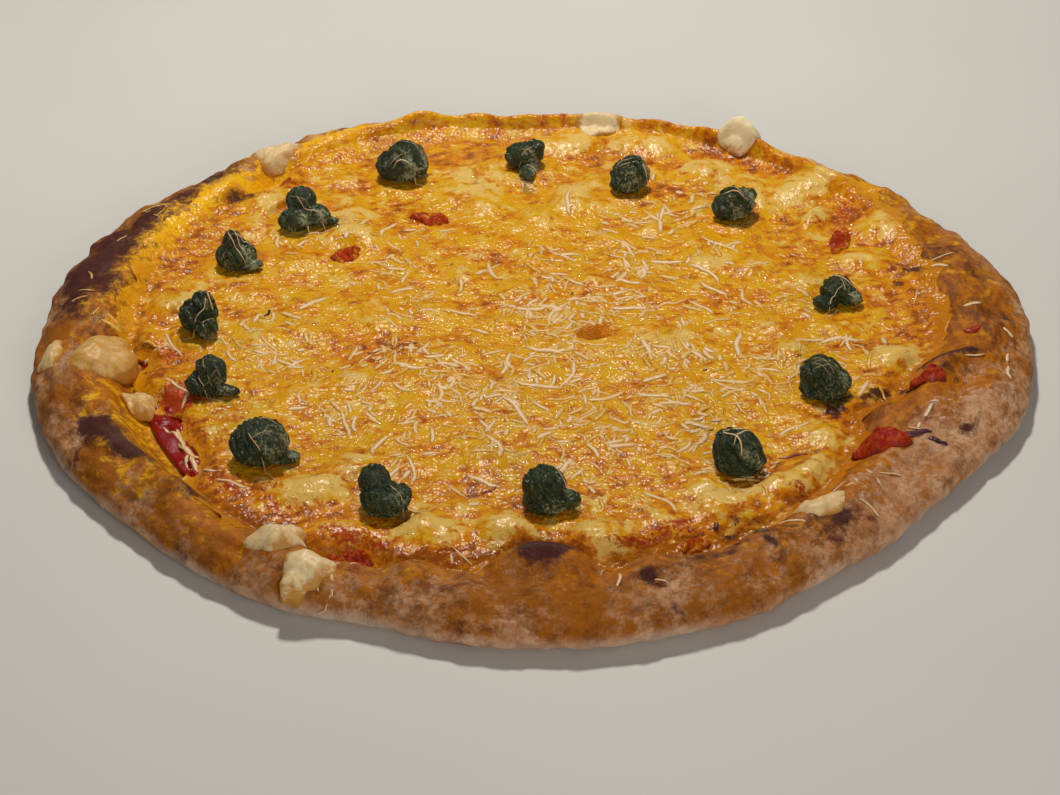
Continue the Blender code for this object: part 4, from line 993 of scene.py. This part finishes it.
# ---------------------------------------------------------------- provolone left on the rim
# Cubes of provolone that missed the well or slid off it. They melted where they lay and
# slumped over the dough: plump, pale and smooth, and browner down their sides, partly a line
# of fat round them and partly painted shade.

LAID_RINGS = 34
LAID_STEPS = 72
DRAPE = 4 * MM
LIP_REACH = 0.8 * MM
LAID_SUNK = 0.3 * MM
# Each lump: x, y, half length, half width in mm, turn, height in mm
RIM_LUMPS = (
    (-150.5, -17, 14, 10.5, 70, 4.2), (-168.5, -16, 8, 4, 80, 2.6), (-136, -37, 8, 5.5, -60, 3.0),
    (-82, -126, 10, 8, 25, 4.2), (-72, -141, 9, 7.5, 30, 3.4), (81, 137, 8, 7, 0, 9.0),
    (-99, 127, 11, 8, 38, 3.6), (26, 150, 9, 6, 4, 3.4), (94, -107, 9, 5.5, 30, 2.4),
)
LUMP_CREAM = (0.66, 0.41, 0.15, 1)
LUMP_YELLOW = (0.60, 0.30, 0.045, 1)
LUMP_WHITE = (0.97, 0.84, 0.54, 1)
LUMP_EDGE = (0.56, 0.27, 0.05, 1)
# How white each lump has stayed
LUMP_WHITENESS = (0.05, 0.25, 0.1, 0.45, 0.55, 0.9, 0.4, 0.6, 0.35)


def laid_form(piece, bluntness, node, uneven, seed):
    """A slumped piece: a dome of height times up^bluntness over its own wavy outline, on
    the highest ground near each point, raised to the top of its solid. With its points and
    faces comes how near its edge each point is."""
    across, back, half_length, half_width, turn, height = piece
    ball = ball_grid(LAID_RINGS, LAID_STEPS)
    out = np.hypot(ball[..., 0], ball[..., 1])
    bearing = np.arctan2(ball[..., 1], ball[..., 0])
    wave = 1.0 + 0.08 * np.sin(3.0 * bearing + across) + 0.06 * np.sin(5.0 * bearing + back)
    wave += 0.03 * np.sin(9.0 * bearing + seed)
    along = half_length * MM * out * np.cos(bearing) * wave
    aside = half_width * MM * out * np.sin(bearing) * wave
    c, s = math.cos(math.radians(turn)), math.sin(math.radians(turn))
    x = across * MM + along * c - aside * s
    y = back * MM + along * s + aside * c
    base = pizza_top(x, y)
    for lip in np.arange(6) * math.pi / 3.0:
        near = pizza_top(x + LIP_REACH * math.cos(lip), y + LIP_REACH * math.sin(lip))
        base = np.maximum(base, near)
    base = np.maximum(base, base.max() - DRAPE)
    up = np.clip(ball[..., 2], 0.0, 1.0) ** bluntness
    z = base - LAID_SUNK + height * MM * up
    z += up * (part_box(node)[1].z - z.max())
    bumps = ripples(x, y, 8 * MM, seed) + 0.4 * ripples(x, y, 3 * MM, seed + 1)
    z += uneven * up * bumps
    z = np.where(ball[..., 2] > -0.01, z, np.minimum(z, pizza_top(x, y)) - 0.4 * MM)
    grid = np.stack([x, y, z], axis=2)
    points, faces = closed_rings(grid, grid[0].mean(axis=0), grid[-1].mean(axis=0))
    return points, faces, np.append((1.0 - up).ravel(), [0.0, 1.0])


lump_skin, tree, shader = food_material("provolone left on the rim")
soft = noise(tree, 6 * MM, 4.0, 0.6)
colour = blend(tree, ramp(tree, soft, 0.4, 0.6), LUMP_CREAM, LUMP_YELLOW)
colour = blend(tree, share_of(tree, "white"), colour, LUMP_WHITE)
freckle = ramp(tree, noise(tree, 3 * MM, 5.0, 0.7), 0.52, 0.72, 0.0, 0.22)
colour = blend(tree, freckle, colour, LUMP_EDGE)
edge = frayed(tree, "edge", soft, 0.34, 0.66, -0.35, 0.35)
# Browner down each lump's sides: partly fat round it, partly painted shade
colour = blend(tree, ramp(tree, edge, 0.45, 0.95), colour, LUMP_EDGE)
coat(tree, shader, colour, 0.36, 0.25, glow=0.15, reach=(1.0, 0.7, 0.25), depth=3 * MM)
dented = noise(tree, 2.4 * MM, 4.0, 0.65)
bumped(tree, shader, (dented, 0.4 * MM), (noise(tree, 0.7 * MM), 0.08 * MM))

for number, piece in enumerate(RIM_LUMPS, 1):
    node = f"provolone_lump_{number}"
    points, faces, edge = laid_form(piece, 1.6, node, 0.34 * MM, 130 + number)
    white = np.full(len(points), LUMP_WHITENESS[number - 1])
    edge *= min(1.0, 4.5 / piece[5])
    lump = add_piece(
        f"melted_cube_{number}", points, faces, lump_skin, edge=edge, white=white
    )
    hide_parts(node)
    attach(lump, "root")

# ---------------------------------------------------------------- pieces of tomato
# Crushed pieces of tomato that stick up through the cheese or lie at its edge. They are
# soft, grainy and wet, and darker toward their lower sides.

# Each piece as the lumps above, and how bare of cheese each is
TOMATOES = (
    (117, -70, 10, 7, 25, 3.6), (22, 4, 7, 5, 10, 2.4), (-39, 84, 8, 4.5, -20, 2.2),
    (-69, 57, 6, 4, 35, 2.2), (-94, 107, 6, 4.5, 20, 2.6), (-59, -127, 8, 5, -10, 2.6),
    (114, 66, 4, 8, -15, 2.6), (52, -118, 5, 4, 15, 2.2), (137, -32, 6, 5, 10, 2.8),
)
TOMATO_BARE = (1.0, 0.25, 0.7, 0.7, 0.5, 0.7, 0.7, 0.5, 0.9)
TOMATO_RED = (0.36, 0.010, 0.002, 1)
TOMATO_ORANGE = (0.52, 0.06, 0.004, 1)
TOMATO_DARK = (0.15, 0.015, 0.008, 1)

tomato_skin, tree, shader = food_material("tomato")
pulp = noise(tree, 2.6 * MM, 4.0, 0.65)
colour = blend(tree, ramp(tree, pulp, 0.4, 0.66), TOMATO_RED, TOMATO_ORANGE)
edge = frayed(tree, "edge", pulp, 0.3, 0.7, -0.4, 0.2)
# Darker toward each piece's lower sides
colour = blend(tree, ramp(tree, edge, 0.55, 1.0, 0.0, 0.85), colour, TOMATO_DARK)
bare = frayed(tree, "bare", pulp, 0.3, 0.7, -0.35, 0.35)
colour = blend(tree, ramp(tree, bare, 0.25, 0.6), ORANGE, colour)
coat(tree, shader, colour, 0.16, 0.2, glow=0.05, reach=(1.0, 0.25, 0.1))
bumped(tree, shader, (pulp, 1.4 * MM), (noise(tree, 1.1 * MM, 3.0), 0.6 * MM))

for number, piece in enumerate(TOMATOES, 1):
    node = f"tomato_{number}"
    points, faces, edge = laid_form(piece, 1.3, node, 1.0 * MM, 150 + number)
    bare = TOMATO_BARE[number - 1] - 0.3 * edge
    tomato = add_piece(
        f"tomato_piece_{number}", points, faces, tomato_skin, edge=edge, bare=bare
    )
    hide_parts(node)
    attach(tomato, "root")

# ---------------------------------------------------------------- grated shreds
# Hard cheese grated over the hot pizza. Most of it fell right of the middle and half
# melted there: thin, bent, crossing shreds, cream to faintly pink. The stoutest of them
# are the strips of the CAD model, along the same lines.

SHRED_COUNT = 34
SHRED_MIDDLE = (14 * MM, -16 * MM)
SHRED_SPREAD = 62 * MM
SHRED_REACH = 112 * MM
SHRED_APART = 11 * MM
SHRED_FLATNESS = 0.2
FINE_SHREDS = 1150
CLUMPS = 150
CLUMP_SPREAD = 48 * MM
CLUMP_LIMIT = 120 * MM
CLUMPS_BACK_IN = 118 * MM
SHRED_STATIONS = 9
SHRED_SIDES = 5
SHRED_CREAM = (0.76, 0.46, 0.12, 1)
SHRED_PINK = (0.80, 0.53, 0.27, 1)
SHRED_WHITE = (0.85, 0.63, 0.41, 1)


def clear_of_toppings(x, y, half_length):
    """Whether a shred at this place stays off every dollop, tomato and the like."""
    for across, back, lobes in DOLLOPS:
        reach = max(math.hypot(dx, dy) + max(a, b) for dx, dy, _, a, b, _ in lobes) * MM
        if math.hypot(x - across * MM, y - back * MM) < reach + half_length + 2 * MM:
            return False
    for across, back, a, b, _, _ in RIM_LUMPS + TOMATOES:
        if math.hypot(x - across * MM, y - back * MM) < max(a, b) * MM + half_length + 2 * MM:
            return False
    return True


def stout_shreds():
    """(x, y, half length, heading, bend) of each strip that the CAD model has."""
    draw = np.random.RandomState(5)
    placed = []
    while len(placed) < SHRED_COUNT:
        x = SHRED_MIDDLE[0] + SHRED_SPREAD * draw.normal()
        y = SHRED_MIDDLE[1] + SHRED_SPREAD * draw.normal()
        half = 0.5 * draw.uniform(12 * MM, 19 * MM)
        heading, bend = draw.uniform(0.0, math.pi), draw.uniform(-0.3, 0.3)
        if math.hypot(x, y) > SHRED_REACH or not clear_of_toppings(x, y, half):
            continue
        if any(math.hypot(x - ox, y - oy) < SHRED_APART for ox, oy, *_ in placed):
            continue
        placed.append((x, y, half, heading, bend))
    return np.array(placed)


def routes(placed, wander):
    """Plan lines of many shreds: straight on, turning by the bend, with a small wander."""
    x, y, half, heading, bend = placed.T[:, :, None]
    steps = np.linspace(-1.0, 1.0, SHRED_STATIONS)[None, :]
    angle = heading + bend * steps + wander * np.sin(3.0 * steps + 40.0 * heading)
    return x + half * steps * np.cos(angle), y + half * steps * np.sin(angle)


def strips(middle, half_width, half_depth):
    """Bent strips from middle lines: five-sided rings across each line, one corner up,
    drawn in to blunt ends, with a cap on each end."""
    count, stations, _ = middle.shape
    along = np.gradient(middle, axis=1)
    along /= np.linalg.norm(along, axis=2, keepdims=True)
    aside = np.cross(along, (0.0, 0.0, 1.0))
    aside /= np.maximum(np.linalg.norm(aside, axis=2, keepdims=True), 1e-9)
    above = np.cross(aside, along)
    ends = np.linspace(-1.0, 1.0, stations)
    slim = (1.0 - np.abs(ends) ** 5)[None, :, None, None] * 0.7 + 0.3
    turn = math.pi * (0.1 + 2.0 * np.arange(SHRED_SIDES) / SHRED_SIDES)[None, None, :, None]
    ring = aside[:, :, None] * np.cos(turn) * half_width[:, None, None, None]
    ring = ring + above[:, :, None] * np.sin(turn) * half_depth[:, None, None, None]
    points = (middle[:, :, None] + ring * slim).reshape(-1, 3)
    first = ring_faces(stations, SHRED_SIDES)[:, ::-1]
    start = np.arange(count)[:, None, None] * stations * SHRED_SIDES
    quads = (first[None] + start).reshape(-1, 4).tolist()
    cap = np.arange(SHRED_SIDES)
    starts = (cap[::-1][None] + start[:, :, 0]).tolist()
    lasts = (cap[None] + (stations - 1) * SHRED_SIDES + start[:, :, 0]).tolist()
    return points, quads + starts + lasts


def per_point(values):
    """One number a strip, given to each of its points."""
    return np.repeat(values, SHRED_STATIONS * SHRED_SIDES)


def melted_in(paleness):
    """Paleness at each point of strips that melt in: full on top, gone at the sides, and
    lower toward the tips."""
    tips = 1.0 - 0.6 * np.linspace(-1.0, 1.0, SHRED_STATIONS) ** 4
    round_it = np.array([0.1, 1.0, 0.1, 0.0, 0.0])
    return paleness[:, None, None] * tips[None, :, None] * round_it[None, None, :]


def pressed_on(points, height):
    """Strips laid close on the cheese: each point at the cheese's own height there, the
    corner on top raised by its strip's height and the two below sunk out of sight."""
    ground = cheese_top(points[:, 0], points[:, 1]).reshape(len(height), -1, SHRED_SIDES)
    ring = np.array([0.1, 1.0, 0.1, -3.0, -3.0])[None, None, :]
    return np.column_stack([points[:, :2], (ground + height[:, None, None] * ring).ravel()])


def melted_strips(placed, wander, width, height):
    """Strips of this half width that have melted into the cheese up to this height."""
    x, y = routes(placed, wander)
    middle = np.stack([x, y, cheese_top(x, y)], axis=2)
    points, faces = strips(middle, width, SHRED_FLATNESS * width)
    return pressed_on(points, height), faces


shred_skin, tree, shader = food_material("grated cheese")
worn = noise(tree, 1.8 * MM, 3.0, 0.6)
tone = frayed(tree, "tone", worn, 0.34, 0.66, -0.3, 0.3)
colour = blend(tree, ramp(tree, tone, -0.1, 0.3), GOLDEN, SHRED_CREAM)
colour = blend(tree, ramp(tree, tone, 0.2, 0.6), colour, SHRED_PINK)
colour = blend(tree, ramp(tree, tone, 0.6, 1.1), colour, SHRED_WHITE)
coat(tree, shader, colour, 0.4, 0.3)
bumped(tree, shader, (noise(tree, 1.1 * MM, 2.0, 0.6), 0.12 * MM))

draw = np.random.RandomState(171)
width = draw.uniform(0.9, 1.4, SHRED_COUNT) * MM
points, faces = melted_strips(stout_shreds(), 0.12, width, 0.25 * width)
tone = melted_in(draw.uniform(0.7, 1.3, SHRED_COUNT))
stout_piece = add_piece("stout_shreds", points, faces, shred_skin, tone=tone)
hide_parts("cheese")
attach(stout_piece, "root")

draw = np.random.RandomState(172)
clump = draw.randint(0, CLUMPS, FINE_SHREDS)
thick = draw.uniform(0.0, 1.0, CLUMPS) < 0.7
reach = np.where(thick, 1.0, 1.9) * draw.normal(0.0, CLUMP_SPREAD, (2, CLUMPS))
x, y = SHRED_MIDDLE[0] + reach[0] * 1.2, SHRED_MIDDLE[1] + reach[1] * 0.9
out = np.hypot(x, y)
back_in = draw.uniform(0.2, 1.0, CLUMPS) ** 0.5 * CLUMPS_BACK_IN / out
inward = np.where(out > CLUMP_LIMIT, back_in, 1.0)
x = (x * inward)[clump] + draw.normal(0.0, 5.5 * MM, FINE_SHREDS)
y = (y * inward)[clump] + draw.normal(0.0, 5.0 * MM, FINE_SHREDS)
half = 0.5 * (3.0 + 7.5 * draw.uniform(0.0, 1.0, FINE_SHREDS) ** 1.5) * MM
heading = draw.uniform(0.0, math.pi, CLUMPS)[clump] + draw.normal(0.0, 0.7, FINE_SHREDS)
placed = np.stack([x, y, half, heading, draw.normal(0.0, 0.16, FINE_SHREDS)], axis=1)
width = (0.42 + 0.95 * draw.uniform(0.0, 1.0, FINE_SHREDS) ** 1.6) * MM
height = width * draw.uniform(0.1, 0.24, FINE_SHREDS)
points, faces = melted_strips(placed, 0.05, width, height)
tone = melted_in(draw.uniform(0.0, 1.25, FINE_SHREDS))
fine_piece = add_piece("fine_shreds", points, faces, shred_skin, tone=tone)
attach(fine_piece, "root")

# ---------------------------------------------------------------- shreds on the rim
# Shreds that fell on the dough and dried there without melting, a few of them broad
# shavings, and at the left strips of provolone that have run over the dough and the sauce.

# Each is x, y and half length in mm, heading in degrees, half width in mm, paleness
RIM_SHREDS = (
    (-144, 82, 5, 20, 0.4, 0.2), (-141, 85, 5, -15, 0.35, 0.3), (-139, 80, 4, 60, 0.35, 0.2),
    (-147, 79, 4, 10, 0.3, 0.1), (-143, 78, 4.5, -35, 0.3, 0.3), (-153, 64, 3, 50, 0.4, 0.2),
    (-150, 58, 2.5, 5, 0.35, 0.1), (-160, 33, 3, -75, 0.45, 0.3), (-164, 17, 4.5, 6, 0.5, 0.4),
    (-161, 21, 3.5, -20, 0.4, 0.3), (-156, 11, 3, 62, 0.45, 0.2), (-158, 40, 2.5, 80, 0.3, 0.1),
    (-155, 48, 3, 30, 0.3, 0.2), (-108, 121, 6.5, 42, 0.5, 0.6), (-101, 124, 4, 10, 0.4, 0.5),
    (-146, 3, 8, -22, 1.5, 0.15), (-138, -1, 7, -24, 1.2, 0.2), (-149, 8, 4, -50, 0.9, 0.1),
    (-134, -6, 5, 35, 0.6, 0.5), (-129, -1, 6, -65, 0.7, 0.6), (-126, -6, 5, -50, 0.6, 0.7),
    (-72, -142, 7.5, -53, 0.7, 0.9), (-64, -143, 6.5, -76, 0.6, 0.8), (-66, -151, 3, 38, 0.5, 0.7),
    (-66, -138, 6, -4, 0.4, 0.8), (-58, -139, 4, 20, 0.35, 0.8), (-25, -133, 7, -62, 0.6, 0.9),
    (-20, -130, 8, -50, 0.5, 0.8), (-17, -139, 3, 20, 0.35, 0.7), (27, -148, 4, 78, 0.7, 0.9),
    (37, -143, 3.5, 40, 0.5, 0.7), (40, -148, 2, 0, 0.4, 0.6), (147, 45, 5.5, -24, 1.3, 1.0),
    (143, 48, 3, 10, 0.8, 0.9), (157, 14, 3.5, 14, 0.9, 0.9), (166, -15, 2.5, 82, 0.8, 0.9),
    (165, -24, 4.5, 86, 0.8, 0.9), (168, -1, 2.5, -50, 0.8, 0.9), (152, -20, 6, 6, 0.5, 0.8),
    (142, -45, 7, 28, 0.7, 0.9), (145, -42, 4, 12, 0.4, 0.8), (133, -55, 8, 62, 0.8, 1.0),
    (136, -58, 6, 50, 0.5, 0.9), (130, -62, 4, -20, 0.4, 0.8), (107, -99, 6, -72, 0.6, 0.9),
    (101, -105, 5, 80, 0.5, 0.8), (103, -98, 4, 20, 0.4, 0.8), (110, -106, 4, -40, 0.5, 0.8),
    (146, 62, 7, 60, 0.4, 0.7), (150, 50, 5, 20, 0.35, 0.6), (139, 30, 9, 74, 0.35, 0.6),
    (36, -124, 6, 25, 0.5, 0.8), (41, -120, 7, 15, 0.45, 0.7), (50, -119, 5, -35, 0.4, 0.9),
    (47, -126, 5, 60, 0.4, 0.8), (30, -133, 5, -50, 0.5, 0.8), (55, -124, 6, 40, 0.45, 0.8),
    (60, -126, 4, -10, 0.4, 0.9), (84, -116, 5, 0, 0.5, 0.9), (79, -112, 4, 40, 0.4, 0.8),
    (22, -140, 4, 70, 0.45, 0.8), (-40, -136, 5, 20, 0.4, 0.7), (98, -96, 5, 30, 0.5, 0.9),
    (113, -92, 6, -60, 0.5, 0.9), (118, -88, 4, 10, 0.4, 0.8), (93, -101, 4, 70, 0.4, 0.8),
    (-123, -52, 5, -50, 0.8, 0.8), (-120, -57, 6, -70, 1.0, 0.7), (-117, -64, 6, -48, 1.2, 0.6),
    (-114, -72, 6, -66, 1.1, 0.8), (-117, -70, 4, -80, 0.7, 0.9), (-110, -78, 6, -40, 0.8, 0.9),
    (-120, -38, 6, 80, 0.7, 0.8), (-100, -88, 6, -30, 0.7, 0.8), (-124, -30, 6, -40, 0.8, 0.7),
)


def placed_strips(table, wander, depth):
    """Strips along a table's lines, lying on the pizza, and their paleness per point."""
    across, back, half, degrees, width, tone = np.array(table).T
    bend = 0.2 * np.sin(across * 1.7)
    placed = [across * MM, back * MM, half * MM, np.radians(degrees), bend]
    x, y = routes(np.stack(placed, axis=1), wander)
    width = width * MM
    middle = np.stack([x, y, pizza_top(x, y) + 0.3 * depth * width[:, None]], axis=2)
    points, faces = strips(middle, width, depth * width)
    return points, faces, per_point(tone)


points, faces, tone = placed_strips(RIM_SHREDS, 0.08, SHRED_FLATNESS)
rim_piece = add_piece("rim_shreds", points, faces, shred_skin, tone=tone)
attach(rim_piece, "root")

# ---------------------------------------------------------------- threads over the dollops
# Melted cheese drawn out in fine threads over the herb paste, on the side toward the
# front, where the film between them is torn. The front dollops have hardly any.

THREADS_EACH = 4
FRONT_OF = -80  # a dollop further to the front than this, in mm, has one thread
DRAPED_ABOVE = 0.3 * MM


def draped_height(x, y):
    """Height that a thread lies at: the skin of the highest lobe there, or the cheese."""
    height = cheese_top(x, y)
    for number, (across, back, lobes) in enumerate(DOLLOPS, 1):
        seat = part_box(f"dollop_{number}")[0].z
        for dx, dy, up, a, b, c in lobes:
            u = (x / MM - across - dx) / a
            v = (y / MM - back - dy) / b
            skin = seat + (up + c * np.sqrt(np.clip(1.0 - u * u - v * v, 0.0, 1.0))) * MM
            height = np.where(u * u + v * v < 1.0, np.maximum(height, skin), height)
    return height


draw = np.random.RandomState(181)
placed = []
for across, back, lobes in DOLLOPS:
    reach = dollop_reach(lobes)
    for _ in range(THREADS_EACH if back > FRONT_OF else 1):
        x = across + reach * draw.uniform(-0.3, 0.6)
        y = back + reach * draw.uniform(-0.75, 0.2)
        half, heading = reach * draw.uniform(0.3, 0.75), draw.uniform(-0.9, 0.9)
        placed.append((x * MM, y * MM, half * MM, heading, draw.uniform(-0.3, 0.3)))
x, y = routes(np.array(placed), 0.15)
middle = np.stack([x, y, draped_height(x, y) + DRAPED_ABOVE], axis=2)
width = (0.07 + 0.28 * draw.uniform(0.0, 1.0, len(placed)) ** 3) * MM
points, faces = strips(middle, width, 0.6 * width)
tone = per_point(draw.uniform(0.4, 1.0, len(placed)))
threads = add_piece("dollop_threads", points, faces, shred_skin, tone=tone)
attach(threads, "root")

# ---------------------------------------------------------------- burnt flakes
# Thin skins of tomato and cheese that curled up and burnt, on the rim at the right and
# at the front, and a few black specks on the cheese.

# Each flake as the shreds on the rim, with its redness last
FLAKES = (
    (129, -65, 5.5, 18, 1.5, 0.3), (136, -68, 3.5, -28, 1.3, 0.2), (139, -35, 4, 55, 1.3, 0.6),
    (128, -31, 4, -15, 1.0, 0.5), (65, -109, 3, 30, 0.9, 0.2), (59, -112, 3, 70, 0.8, 0.3),
    (73, -124, 2.5, 0, 0.7, 0.2), (87, -72, 5, 20, 0.7, 0.75), (-14, -92, 3.5, 35, 0.6, 0.8),
    (-20, -95, 2.5, 10, 0.5, 0.7), (156, -1, 4, 30, 1.6, 1.0), (53, -114, 3, 0, 1.0, 0.9),
    (-95, 17, 3.2, 72, 0.5, 0.0), (-42, -3, 1.0, 20, 0.5, 0.0), (14, 30, 0.8, 60, 0.4, 0.0),
    (60, -20, 0.9, 0, 0.4, 0.1), (-30, 50, 0.8, 45, 0.4, 0.1), (-70, -20, 0.8, 80, 0.4, 0.1),
)
FLAKE_BLACK = (0.014, 0.006, 0.006, 1)
FLAKE_PURPLE = (0.10, 0.02, 0.035, 1)
FLAKE_RED = (0.36, 0.03, 0.008, 1)

flake_skin, tree, shader = food_material("burnt flakes")
char = noise(tree, 1.6 * MM, 3.0, 0.6)
tone = frayed(tree, "tone", char, 0.3, 0.7, -0.15, 0.15)
colour = blend(tree, ramp(tree, tone, 0.0, 0.4), FLAKE_BLACK, FLAKE_PURPLE)
colour = blend(tree, ramp(tree, tone, 0.4, 0.9), colour, FLAKE_RED)
coat(tree, shader, colour, 0.3)
bumped(tree, shader, (char, 0.3 * MM))

points, faces, tone = placed_strips(FLAKES, 0.2, 0.4)
flakes = add_piece("burnt_flakes", points, faces, flake_skin, tone=tone)
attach(flakes, "root")

# ---------------------------------------------------------------- floor, light and camera
# A plain pale floor, soft light from behind and above, a weak light from the front and
# an even light from all round, and a camera that looks down over the front edge.

FLOOR_CORNERS = ((-3, -3, 0), (3, -3, 0), (3, 3, 0), (-3, 3, 0))
FLOOR_GREY = (0.60, 0.59, 0.57, 1)
FLOOR_PALE = (0.64, 0.63, 0.61, 1)
# Each light: its name, place, side, power in watts and colour
LIGHTS = (
    ("key", (-0.044, 0.41, 0.78), 0.1, 6.0, (1.0, 0.95, 0.86)),
    ("front", (0.35, -1.1, 0.42), 0.5, 5.0, (1.0, 0.95, 0.88)),
)
ROOM_COLOUR = (0.70, 0.67, 0.64, 1)
ROOM_STRENGTH = 0.18
CAMERA_UP = math.radians(34.0)
CAMERA_AWAY = 1.1
CAMERA_TARGET = Vector((-2.08 * MM, -19.91 * MM, 0.0))
SENSOR_WIDTH = 36.0
LENS_LENGTH = 106.44

floor_mesh = bpy.data.meshes.new("floor")
floor_mesh.from_pydata(FLOOR_CORNERS, [], [(0, 1, 2, 3)])
floor_piece = bpy.data.objects.new("floor", floor_mesh)
bpy.context.scene.collection.objects.link(floor_piece)
floor_skin, tree, shader = food_material("pale floor")
tint = ramp(tree, noise(tree, 0.4), 0.3, 0.7)
coat(tree, shader, blend(tree, tint, FLOOR_GREY, FLOOR_PALE), 0.7)
floor_mesh.materials.append(floor_skin)


def soft_light(name, place, size, power, colour):
    """A square light that looks at the pizza from this place."""
    lamp = bpy.data.lights.new(name, "AREA")
    lamp.size, lamp.energy, lamp.color = size, power, colour
    holder = bpy.data.objects.new(name, lamp)
    bpy.context.scene.collection.objects.link(holder)
    holder.location = place
    holder.rotation_euler = (-Vector(place)).to_track_quat("-Z", "Y").to_euler()


for light in LIGHTS:
    soft_light(*light)
world = bpy.data.worlds.new("room")
bpy.context.scene.world = world
world.use_nodes = True
background = world.node_tree.nodes["Background"]
wire(world.node_tree, background, {"Color": ROOM_COLOUR, "Strength": ROOM_STRENGTH})
bpy.context.scene.view_settings.view_transform = "Standard"

lens = bpy.data.cameras.new("camera")
lens.sensor_width, lens.lens = SENSOR_WIDTH, LENS_LENGTH
camera = bpy.data.objects.new("camera", lens)
bpy.context.scene.collection.objects.link(camera)
toward = Vector((0.0, -math.cos(CAMERA_UP), math.sin(CAMERA_UP)))
camera.location = CAMERA_TARGET + toward * CAMERA_AWAY
camera.rotation_euler = (-toward).to_track_quat("-Z", "Y").to_euler()
bpy.context.scene.camera = camera
